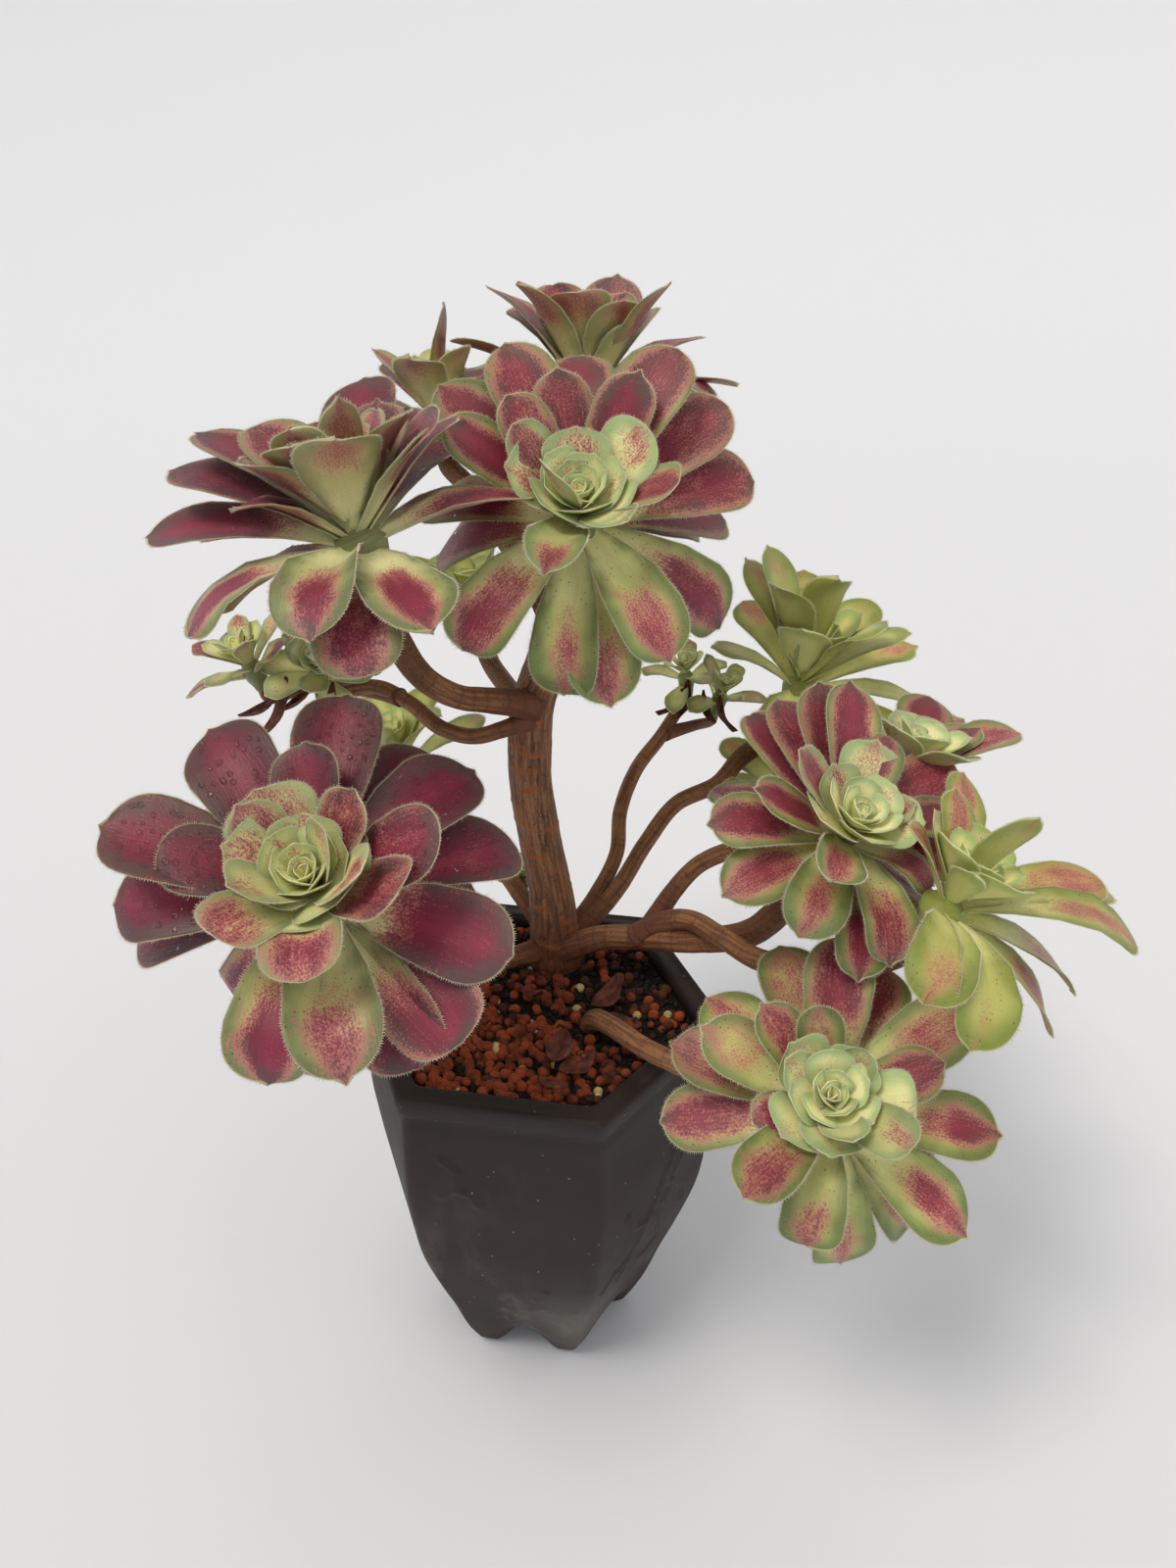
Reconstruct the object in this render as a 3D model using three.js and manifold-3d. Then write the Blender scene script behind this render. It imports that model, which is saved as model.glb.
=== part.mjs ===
// A potted aeonium: a six-sided clay pot, gritty soil, one old branching stem and its leafy heads.
// Millimetres, +Z up, the pot's feet on z = 0, the front of the pot towards -Y.
import * as THREE from "three";
import { mergeVertices } from "three/addons/utils/BufferGeometryUtils.js";
import Module from "manifold-3d";

const wasm = await Module();
wasm.setup();

// ---- driving dimensions -------------------------------------------------------------------

const potTurn = -9.7; // degrees, the pot's corners against +X
const potCentre = [-41, -28]; // the pot's axis: the whole plant's box is centred on the origin
const cornerRounding = 0.05; // share of a side that each corner's rounding takes
const wallClearance = 0.35; // soil to clay
const pieceGap = 0.3; // between pieces that touch

// Outer wall: height, and centre to corner.
const outerProfile = [
  [0, 42], [4, 45.5], [20, 53.5], [31, 56], [58, 66.5], [84, 75.2],
  [124, 80.3], [167, 79], [169, 81], [176, 81.4], [178, 80.4],
];
// Inner wall, from the floor of the pot up.
const potFloor = 20;
const innerProfile = [
  [potFloor, 44], [58, 60.5], [84, 69], [118, 73.6], [168, 71], [179, 69],
];
const archWidth = 27; // the arches between the feet
const archHeight = 13;
const underHollowRadius = 21; // the hollow under the floor, inside the feet
const drainRadius = 7;

const soilHeight = 170.5;
const grainRise = 3.2; // the tallest granule above the soil's own level
const soilRings = 9;
const soilSectors = 30;

const trunkHoleRadius = 15.2;
const trunkHoleFloor = 133.3; // a touching gap under the trunk's slightly tilted foot
const caneHoleRadius = 5.8;
const stemSides = 6;

const coreLength = 16; // each head's core, from its stem to its growing tip
const coreSides = 6;
const bladeThickness = 2.2; // at the rib, thinning to the edges
const rootShare = 0.15; // a blade's width at its root, against its widest
const goldenAngle = 137.508;

// ---- vectors --------------------------------------------------------------------------------

const vec = (x, y, z) => new THREE.Vector3(x, y, z);
const point = (list) => new THREE.Vector3(...list);
const radians = THREE.MathUtils.degToRad;

// The same draw every time: a small seeded generator.
function seededRandom(seed) {
  let state = seed;
  return () => {
    state = (state * 1664525 + 1013904223) % 4294967296;
    return state / 4294967296;
  };
}

// ---- solids ---------------------------------------------------------------------------------

// Closed body through rings of points that all have the same count; fans close its ends, the last
// one towards tip where it is given.
function loft(rings, tip) {
  const count = rings[0].length;
  const positions = rings.flat().flatMap((p) => [p.x, p.y, p.z]);
  const faces = [];
  for (let ring = 0; ring + 1 < rings.length; ring += 1) {
    for (let i = 0; i < count; i += 1) {
      const a = ring * count + i;
      const b = ring * count + ((i + 1) % count);
      faces.push(a, b, a + count, b, b + count, a + count);
    }
  }
  const close = (ring, apex, flip) => {
    const last = positions.length / 3;
    positions.push(apex.x, apex.y, apex.z);
    const start = rings.indexOf(ring) * count;
    for (let i = 0; i < count; i += 1) {
      const a = start + i;
      const b = start + ((i + 1) % count);
      faces.push(...(flip ? [b, a, last] : [a, b, last]));
    }
  };
  const middle = (ring) => ring.reduce((sum, p) => sum.add(p), vec(0, 0, 0)).divideScalar(count);
  const end = rings[rings.length - 1];
  close(rings[0], middle(rings[0]), true);
  close(end, tip ?? middle(end), false);
  const geometry = new THREE.BufferGeometry();
  geometry.setAttribute("position", new THREE.Float32BufferAttribute(positions, 3));
  geometry.setIndex(faces);
  return geometry;
}

function toSolid(geometry) {
  const bare = new THREE.BufferGeometry();
  bare.setAttribute("position", geometry.getAttribute("position"));
  bare.setIndex(geometry.index);
  const merged = mergeVertices(bare, 1e-4);
  return new wasm.Manifold(new wasm.Mesh({
    numProp: 3,
    vertProperties: new Float32Array(merged.attributes.position.array),
    triVerts: new Uint32Array(merged.index.array),
  }));
}

function toGeometry(solid) {
  const mesh = solid.getMesh();
  const geometry = new THREE.BufferGeometry();
  geometry.setAttribute("position", new THREE.BufferAttribute(mesh.vertProperties, 3));
  geometry.setIndex(new THREE.BufferAttribute(mesh.triVerts, 1));
  geometry.computeVertexNormals();
  return geometry;
}

// The one outer body of a fused solid, with sealed hollows filled and loose scraps dropped.
function mainBody(solid) {
  const bodies = solid.decompose();
  return bodies.reduce((best, body) => (body.volume() > best.volume() ? body : best));
}

function boxesMeet(a, b, reach) {
  const first = a.boundingBox();
  const second = b.boundingBox();
  return [0, 1, 2].every((k) => first.min[k] < second.max[k] + reach
    && second.min[k] < first.max[k] + reach);
}

function meets(a, b) {
  return boxesMeet(a, b, 0) && a.intersect(b).volume() > 1e-4;
}

// ---- the pot --------------------------------------------------------------------------------

// A six-sided ring with softened corners.
function hexagonRing(radius, height) {
  const ring = [];
  const corner = (k) => {
    const angle = radians(60 * k + potTurn);
    return vec(radius * Math.cos(angle), radius * Math.sin(angle), height);
  };
  for (let side = 0; side < 6; side += 1) {
    ring.push(corner(side).lerp(corner(side - 1), cornerRounding));
    ring.push(corner(side).lerp(corner(side + 1), cornerRounding));
  }
  return ring;
}

function makePot() {
  const outer = toSolid(loft(outerProfile.map(([z, r]) => hexagonRing(r, z))));
  const inner = toSolid(loft(innerProfile.map(([z, r]) => hexagonRing(r, z))));
  let pot = outer.subtract(inner);
  // An arch between each two feet, from the middle outwards.
  const arch = new THREE.Shape();
  arch.moveTo(-archWidth / 2, -4);
  arch.lineTo(archWidth / 2, -4);
  arch.lineTo(archWidth / 2, 2);
  arch.absellipse(0, 2, archWidth / 2, archHeight - 2, 0, Math.PI, false);
  for (let side = 0; side < 6; side += 1) {
    const cut = new THREE.ExtrudeGeometry(arch, { depth: 80, bevelEnabled: false, curveSegments: 5 });
    cut.rotateX(Math.PI / 2);
    cut.rotateZ(radians(60 * side + 30 + potTurn) + Math.PI / 2);
    pot = pot.subtract(toSolid(cut));
  }
  const hollow = new THREE.CylinderGeometry(underHollowRadius - 3, underHollowRadius, archHeight + 4, 12);
  hollow.rotateX(Math.PI / 2);
  hollow.translate(0, 0, (archHeight + 4) / 2 - 4);
  const drain = new THREE.CylinderGeometry(drainRadius, drainRadius, 40, 12);
  drain.rotateX(Math.PI / 2);
  drain.translate(0, 0, potFloor - 10);
  return mainBody(pot.subtract(toSolid(hollow)).subtract(toSolid(drain)));
}

// ---- the soil -------------------------------------------------------------------------------

// Centre to corner of the pot's inside at a height.
function innerRadius(z) {
  for (let i = 0; i + 1 < innerProfile.length; i += 1) {
    const [z0, r0] = innerProfile[i];
    const [z1, r1] = innerProfile[i + 1];
    if (z <= z1) return r0 + ((r1 - r0) * (z - z0)) / (z1 - z0);
  }
  return innerProfile[innerProfile.length - 1][1];
}

function soilRing(cornerRadius, height) {
  const ring = [];
  const perSide = soilSectors / 6;
  for (let i = 0; i < soilSectors; i += 1) {
    const corner = Math.floor(i / perSide);
    const share = (i % perSide) / perSide;
    const at = (k) => radians(60 * k + potTurn);
    const from = vec(Math.cos(at(corner)), Math.sin(at(corner)), 0);
    const to = vec(Math.cos(at(corner + 1)), Math.sin(at(corner + 1)), 0);
    // The corner points are drawn in, where the pot's own corners are softened.
    const radius = i % perSide === 0 ? cornerRadius * (1 - cornerRounding) : cornerRadius;
    const place = from.lerp(to, share).multiplyScalar(radius);
    ring.push(vec(place.x, place.y, height));
  }
  return ring;
}

function makeSoil(holes) {
  const random = seededRandom(7);
  const rings = [potFloor + pieceGap, 58, 84, 110, 150, 167].map((z) => {
    return soilRing(innerRadius(z) - wallClearance * 1.3, z);
  });
  const rimRadius = innerRadius(soilHeight) - wallClearance * 2;
  for (let k = 0; k < soilRings; k += 1) {
    const share = 1 - k / soilRings;
    const ring = soilRing(rimRadius * share, soilHeight);
    rings.push(ring.map((p, i) => {
      const bump = grainRise * random();
      const step = k % 2 ? 0.5 : 0;
      const turn = vec(p.x, p.y, 0).applyAxisAngle(vec(0, 0, 1), k ? (step * Math.PI) / soilSectors : 0);
      return vec(turn.x, turn.y, soilHeight + (k ? bump : bump * 0.3) + (i % 2 ? 0 : 0.4));
    }));
  }
  let soil = toSolid(loft(rings));
  holes.forEach((hole) => {
    soil = soil.subtract(hole);
  });
  return mainBody(soil);
}

// ---- stems ----------------------------------------------------------------------------------

// A tapering stem through points [x, y, z, radius]; its last section faces along endAxis.
function stemSolid(stations, steps, endAxis) {
  const curve = new THREE.CatmullRomCurve3(stations.map(([x, y, z]) => vec(x, y, z)), false, "centripetal");
  const radiusAt = (share) => {
    const place = share * (stations.length - 1);
    const k = Math.min(stations.length - 2, Math.floor(place));
    return THREE.MathUtils.lerp(stations[k][3], stations[k + 1][3], place - k);
  };
  const rings = [];
  let across = null;
  for (let i = 0; i <= steps; i += 1) {
    const share = i / steps;
    const centre = curve.getPoint(share);
    const along = i === steps && endAxis ? endAxis.clone() : curve.getTangent(share);
    if (!across) across = Math.abs(along.x) < 0.8 ? vec(1, 0, 0) : vec(0, 1, 0);
    across = across.clone().addScaledVector(along, -across.dot(along)).normalize();
    const other = along.clone().cross(across);
    const ring = [];
    for (let k = 0; k < stemSides; k += 1) {
      const angle = (2 * Math.PI * k) / stemSides;
      const radius = radiusAt(share);
      ring.push(centre.clone().addScaledVector(across, radius * Math.cos(angle))
        .addScaledVector(other, radius * Math.sin(angle)));
    }
    rings.push(ring);
  }
  return toSolid(loft(rings));
}

// ---- leafy heads ----------------------------------------------------------------------------

// How a ring's leaves bend from root to tip, and how far below the growing tip they are rooted.
const ringRules = {
  outer: { bend: -30, rootDepth: 9, stations: [0, 0.5, 0.88] },
  middle: { bend: -14, rootDepth: 7, stations: [0, 0.5, 0.88] },
  inner: { bend: 0, rootDepth: 4.5, stations: [0, 0.5, 0.88] },
  crown: { bend: 14, rootDepth: 2.5, stations: [0, 0.78] },
  heart: { bend: 18, rootDepth: 1, stations: [0, 0.78] },
};
// Where a leaf would cross something, it swings round its head and leans up or down by these degrees.
const bends = [
  [0, 0], [0, 5], [0, -5], [4, 0], [-4, 0], [0, 10], [4, 7], [-4, 7], [8, 0], [-8, 0], [0, -10],
  [8, 8], [-8, 8], [0, 16], [12, 4], [-12, 4], [0, 24], [12, 14], [-12, 14], [0, -18], [0, 34], [0, 46],
];
const reachShares = [1, 0.8, 0.62];
const freeFrom = 0.28; // the share of a blade from which it must stay clear of its own head

// Each head: its growing tip, the way it faces, its widest leaf, the thickness of its stem, and its
// leaves as [turn, lift, length] in degrees, degrees and millimetres. A leaf at turn 0 points to
// +X and one at turn 90 to the back. Heads with a spiral follow the golden angle from the oldest
// leaf in to the youngest; every head's heart does.
const heads = [
  {
    name: "headFrontLeft", tip: [-71, -71, 280], axis: [-0.02, -0.55, 0.82], leafWidth: 34, stem: 5.5,
    outer: [
      [125, 30, 76], [85, 25, 76], [60, 10, 74], [45, 10, 74], [20, 10, 75], [165, 30, 77],
      [180, 15, 74], [185, 0, 74], [220, -25, 70], [262, 26, 70], [276, 6, 66], [285, 25, 73],
      [303, 12, 71], [315, 15, 74], [340, 20, 73], [20, -25, 73],
    ],
    middle: [[95, 30, 53], [170, 30, 55]],
    inner: [[140, 50, 41], [50, 50, 43], [5, 40, 60], [235, 50, 52], [280, 45, 56], [335, 45, 56]],
    crown: [[220, 55, 43], [335, 40, 46], [25, 65, 38]],
    heart: { count: 5, length: 30, turn: 120 },
  },
  {
    name: "headCrown", tip: [19, 33, 382], axis: [0, -0.64, 0.76], leafWidth: 30, stem: 8,
    outer: [
      [50, 15, 71], [15, 20, 72], [20, -10, 71], [30, -30, 68], [330, 5, 73], [300, 20, 70],
      [280, 0, 72], [265, 5, 71], [230, 15, 70], [160, 0, 71], [170, -8, 71], [140, 35, 74],
      [115, 40, 74], [90, 35, 73], [78, 25, 72], [55, 45, 76], [35, 30, 73],
    ],
    middle: [[100, 30, 56], [60, 30, 58], [155, 30, 62], [130, 30, 53]],
    inner: [[145, 50, 44], [80, 45, 32], [345, 45, 51], [255, 40, 54]],
    crown: [[305, 40, 43], [220, 65, 40]],
    heart: { count: 5, length: 28, turn: 40 },
  },
  {
    name: "headLowerRight", tip: [110, -84, 195], axis: [-0.03, -0.53, 0.84], leafWidth: 27, stem: 4.2,
    outer: [
      [100, 25, 65], [80, 30, 65], [60, 25, 64], [30, 30, 65], [350, 15, 63], [345, -20, 60],
      [315, 15, 64], [312, -14, 60], [303, -34, 56], [275, -10, 61], [255, 30, 54], [225, 45, 58],
      [180, 0, 61], [155, -5, 61], [130, 15, 63],
    ],
    middle: [[15, 30, 46], [150, 30, 55], [125, 30, 46], [95, 30, 40], [195, 35, 36]],
    inner: [[315, 50, 44], [45, 50, 30], [150, 55, 34]],
    crown: [[275, 50, 36]],
    heart: { count: 5, length: 26, turn: 210 },
  },
  {
    name: "headRight", tip: [124, -10, 268], axis: [0.24, -0.42, 0.87], leafWidth: 26, stem: 6,
    outer: [
      [132, 22, 64], [122, 33, 64], [111, 26, 64], [99, 37, 64], [52, 22, 63], [42, 32, 63],
      [355, 25, 63], [145, -10, 61], [195, 30, 61], [220, 20, 62], [250, 30, 60], [278, 18, 61],
      [289, 28, 60], [335, -15, 61], [0, -10, 62],
    ],
    middle: [[75, 30, 46], [15, 30, 48], [330, 30, 42], [250, 42, 50], [188, 36, 50], [142, 32, 38]],
    inner: [[15, 48, 30], [165, 45, 45]],
    heart: { count: 5, length: 26, turn: 75 },
  },
  {
    name: "headUpperLeft", tip: [-60, 1, 385], axis: [-0.19, 0, 0.98], leafWidth: 31, stem: 5.5,
    outer: [
      [180, 30, 76], [165, 45, 76], [150, 20, 75], [152, 47, 76], [120, 45, 76], [85, 55, 77],
      [65, 30, 75], [155, 0, 75], [265, 15, 72], [275, 2, 74], [295, 5, 75], [60, 0, 75],
      [20, 12, 66], [205, 12, 70],
    ],
    middle: [[90, 35, 71], [125, 30, 66], [70, 34, 66], [40, 36, 58], [200, 42, 46]],
    inner: [[250, 65, 48], [325, 78, 48], [352, 45, 46], [165, 60, 40]],
    heart: { count: 4, length: 26, turn: 10 },
  },
  {
    name: "headFarRight", tip: [159, -40, 257], axis: [0.45, 0, 0.89], leafWidth: 27, stem: 5.5,
    outer: [
      [15, 40, 73], [345, 40, 74], [5, 10, 72], [355, 3, 72], [270, 15, 72], [250, 15, 70],
      [30, -10, 70], [62, 18, 60], [95, 25, 58],
    ],
    middle: [[10, 30, 64], [45, 22, 52], [180, 48, 40], [110, 45, 46]],
    inner: [[290, 80, 48], [240, 45, 32]],
    heart: { count: 5, length: 26, turn: 150 },
  },
  {
    name: "headRightBack", tip: [158, 34, 272], axis: [0.25, 0.05, 0.97], leafWidth: 28, stem: 4.5,
    outer: [[2, 58, 54], [62, 24, 50], [100, 20, 48], [140, 25, 46]],
    middle: [[50, 36, 52], [72, 42, 50], [20, 46, 40], [160, 50, 34]],
    heart: { count: 5, length: 22, turn: 300 },
  },
  {
    name: "headTopBack", tip: [23, 131, 411], axis: [0.02, 0.06, 1], leafWidth: 29, stem: 5.5,
    outer: [
      [75, 66, 68], [97, 50, 66], [115, 50, 66], [135, 53, 64], [160, 58, 70], [60, 50, 66],
      [25, 45, 64], [0, 27, 68], [180, 40, 66], [205, 30, 64], [235, 22, 60], [262, 16, 58],
      [290, 18, 58], [318, 22, 60], [342, 32, 62],
    ],
    inner: [[90, 55, 46], [150, 55, 44], [30, 55, 44], [210, 58, 38], [320, 58, 38]],
    heart: { count: 5, length: 28, turn: 70 },
  },
  {
    name: "headTopLeft", tip: [-42, 123, 403], axis: [-0.1, 0.05, 1], leafWidth: 25, stem: 4.5,
    spiral: { count: 16, length: 54, turn: 20, lift: 30 },
  },
  {
    name: "headSlopeBack", tip: [124, 106, 285], axis: [0.1, -0.1, 1], leafWidth: 26, stem: 5,
    outer: [
      [150, 70, 68], [90, 60, 62], [50, 45, 64], [15, 37, 60], [355, 20, 58], [320, 14, 56],
      [185, 42, 50], [120, 38, 58], [70, 28, 58], [245, 12, 50], [285, 4, 52],
    ],
    inner: [[278, 80, 62], [215, 72, 62], [318, 58, 56], [342, 46, 56], [140, 64, 66]],
    heart: { count: 4, length: 24, turn: 100 },
  },
  {
    name: "headMiddleBack", tip: [-29, 104, 323], axis: [-0.15, -0.1, 1], leafWidth: 24, stem: 4.5,
    spiral: { count: 14, length: 50, turn: 60, lift: 25 },
  },
  {
    name: "headLowLeft", tip: [-68, 94, 252], axis: [-0.25, -0.1, 1], leafWidth: 22, stem: 4,
    spiral: { count: 11, length: 46, turn: 10, lift: 28 },
  },
  {
    name: "headBehindRight", tip: [116, 87, 237], axis: [0.1, -0.15, 1], leafWidth: 22, stem: 4,
    spiral: { count: 12, length: 46, turn: 170, lift: 20 },
  },
  {
    name: "youngLeft", tip: [-89, 46, 314], axis: [0.1, -0.5, 0.85], leafWidth: 15, stem: 3.2,
    spiral: { count: 15, length: 27, turn: 30, lift: 12 },
  },
  {
    name: "youngFarLeft", tip: [-121, 51, 316], axis: [-0.35, -0.15, 0.92], leafWidth: 14, stem: 3,
    spiral: { count: 12, length: 30, turn: 200, lift: 30 },
  },
  {
    name: "youngBackA", tip: [71, 136, 277], axis: [-0.1, -0.2, 1], leafWidth: 12, stem: 2.8,
    spiral: { count: 9, length: 24, turn: 250, lift: 15 },
  },
  {
    name: "youngBackB", tip: [90, 131, 268], axis: [0.25, -0.2, 1], leafWidth: 12, stem: 2.6,
    spiral: { count: 9, length: 25, turn: 90, lift: 15 },
  },
  {
    name: "sprout", tip: [-8, 67, 200], axis: [0, -0.35, 0.94], leafWidth: 8, stem: 1.8,
    spiral: { count: 8, length: 13, turn: 45, lift: 20 }, coreLength: 7,
  },
];

function headFrame(head) {
  const axis = point(head.axis).normalize();
  const across = vec(0, 1, 0).cross(axis).normalize();
  return { axis, across, back: axis.clone().cross(across) };
}

function headBase(head) {
  return point(head.tip).addScaledVector(headFrame(head).axis, -(head.coreLength ?? coreLength));
}

// Half width along a blade as a share of its widest: narrow root, widest past the middle, round end.
function bladeShare(t) {
  const widest = 0.76;
  if (t > widest) return Math.sqrt(Math.max(0, 1 - ((t - widest) / (1 - widest)) ** 2.3));
  const x = t / widest;
  return rootShare + (1 - rootShare) * (x * x * (3 - 2 * x)) ** 1.15;
}

// The leaves of one head, oldest first, each with the numbers that its blade needs.
function leavesOf(head) {
  const longest = head.spiral ? head.spiral.length
    : Math.max(...head.outer.map(([, , length]) => length));
  const leaves = [];
  const add = (turn, lift, length, rule) => {
    const halfWidth = (head.leafWidth / 2) * (length / longest) ** 0.75;
    leaves.push({ turn, lift, length, halfWidth, ...rule });
  };
  ["outer", "middle", "inner", "crown"].forEach((ring) => {
    (head[ring] ?? []).forEach(([turn, lift, length]) => add(turn, lift, length, ringRules[ring]));
  });
  if (head.heart) {
    for (let i = 0; i < head.heart.count; i += 1) {
      const young = i / (head.heart.count - 1);
      add(head.heart.turn + goldenAngle * i, 62 + 20 * young, head.heart.length * (1 - 0.6 * young),
        ringRules.heart);
    }
  }
  if (head.spiral) {
    const { count, length, turn, lift } = head.spiral;
    const depth = head.coreLength ? 0.4 : 1;
    for (let i = 0; i < count; i += 1) {
      const young = i / (count - 1);
      const small = young > 0.55 || length < 40;
      add(turn + goldenAngle * i, lift + (80 - lift) * young ** 1.6, length * (1 - 0.78 * young ** 2.1), {
        bend: -24 + 40 * young,
        rootDepth: 10 * depth * (1 - young) ** 1.2 + 0.6,
        stations: small ? [0, 0.78] : [0, 0.5, 0.87],
      });
    }
  }
  return leaves;
}

// One blade: sections with a flat top and a keel below, along a bent rib. A margin makes it larger, to
// test its clearance.
function bladeSolid(head, leaf, [swing, lean], reach, { margin = 0, from = 0 } = {}) {
  const { axis, across, back } = headFrame(head);
  const turn = radians(leaf.turn + swing);
  const outwards = across.clone().multiplyScalar(Math.cos(turn)).addScaledVector(back, Math.sin(turn));
  const sideways = across.clone().multiplyScalar(-Math.sin(turn)).addScaledVector(back, Math.cos(turn));
  const root = point(head.tip).addScaledVector(axis, -leaf.rootDepth);
  const length = leaf.length * reach + margin;
  const directionAt = (t) => {
    const angle = radians(leaf.lift + lean + leaf.bend * t);
    return outwards.clone().multiplyScalar(Math.cos(angle)).addScaledVector(axis, Math.sin(angle));
  };
  const ribAt = (t) => {
    const place = root.clone();
    const steps = 8;
    for (let i = 0; i < steps; i += 1) {
      place.addScaledVector(directionAt((t * (i + 0.5)) / steps), (length * t) / steps);
    }
    return place;
  };
  const sectionAt = (t) => {
    const middle = ribAt(t);
    const up = directionAt(t).cross(sideways);
    const half = leaf.halfWidth * bladeShare(t) + margin;
    const keel = bladeThickness * (1 - 0.35 * t) + margin * 2;
    return [
      middle.clone().addScaledVector(sideways, half).addScaledVector(up, margin),
      middle.clone().addScaledVector(sideways, -half).addScaledVector(up, margin),
      middle.clone().addScaledVector(up, margin - keel),
    ];
  };
  return toSolid(loft([from, ...leaf.stations.filter((t) => t > from)].map(sectionAt), ribAt(1)));
}

function coreSolid(head) {
  const { axis, across, back } = headFrame(head);
  const base = headBase(head);
  const length = head.coreLength ?? coreLength;
  const wide = head.leafWidth * 0.34;
  const shape = [[0, head.stem + 0.4], [0.3, wide * 0.95], [0.7, wide], [1.05, wide * 0.6]];
  const rings = shape.map(([share, radius]) => {
    const centre = base.clone().addScaledVector(axis, length * share);
    return Array.from({ length: coreSides }, (_, k) => {
      const angle = (2 * Math.PI * k) / coreSides;
      return centre.clone().addScaledVector(across, radius * Math.cos(angle))
        .addScaledVector(back, radius * Math.sin(angle));
    });
  });
  return toSolid(loft(rings));
}

// Each leaf stays where it is clear of all that was built before and of its own head's other
// blades, or takes the first bend that is; a leaf with no free place keeps clear of the rest alone.
function makeHead(head, others) {
  let body = coreSolid(head);
  const near = others.filter((other) => boxesMeet(other, body, 110));
  const isClear = (leaf, bend, reach) => {
    const room = bladeSolid(head, leaf, bend, reach, { margin: 0.45 });
    return !near.some((other) => meets(room, other));
  };
  const isFree = (leaf, bend, reach) => {
    return !meets(bladeSolid(head, leaf, bend, reach, { margin: 0.15, from: freeFrom }), body);
  };
  leavesOf(head).forEach((leaf) => {
    const places = reachShares.flatMap((reach) => bends.map((bend) => ({ bend, reach })));
    const open = places.filter(({ bend, reach }) => isClear(leaf, bend, reach));
    const place = open.find(({ bend, reach }) => isFree(leaf, bend, reach)) ?? open[0];
    if (place) body = body.add(bladeSolid(head, leaf, place.bend, place.reach));
  });
  return mainBody(body);
}

// ---- the woody plant ------------------------------------------------------------------------

// A branch ends under its head, a touching gap short of the head's core.
function towardsHead(stations, headName, steps) {
  const head = heads.find((item) => item.name === headName);
  const { axis } = headFrame(head);
  const end = headBase(head).addScaledVector(axis, -pieceGap);
  const before = end.clone().addScaledVector(axis, -head.stem * 1.6);
  const full = [
    ...stations,
    [before.x, before.y, before.z, head.stem],
    [end.x, end.y, end.z, head.stem],
  ];
  return stemSolid(full, steps, axis);
}

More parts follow.
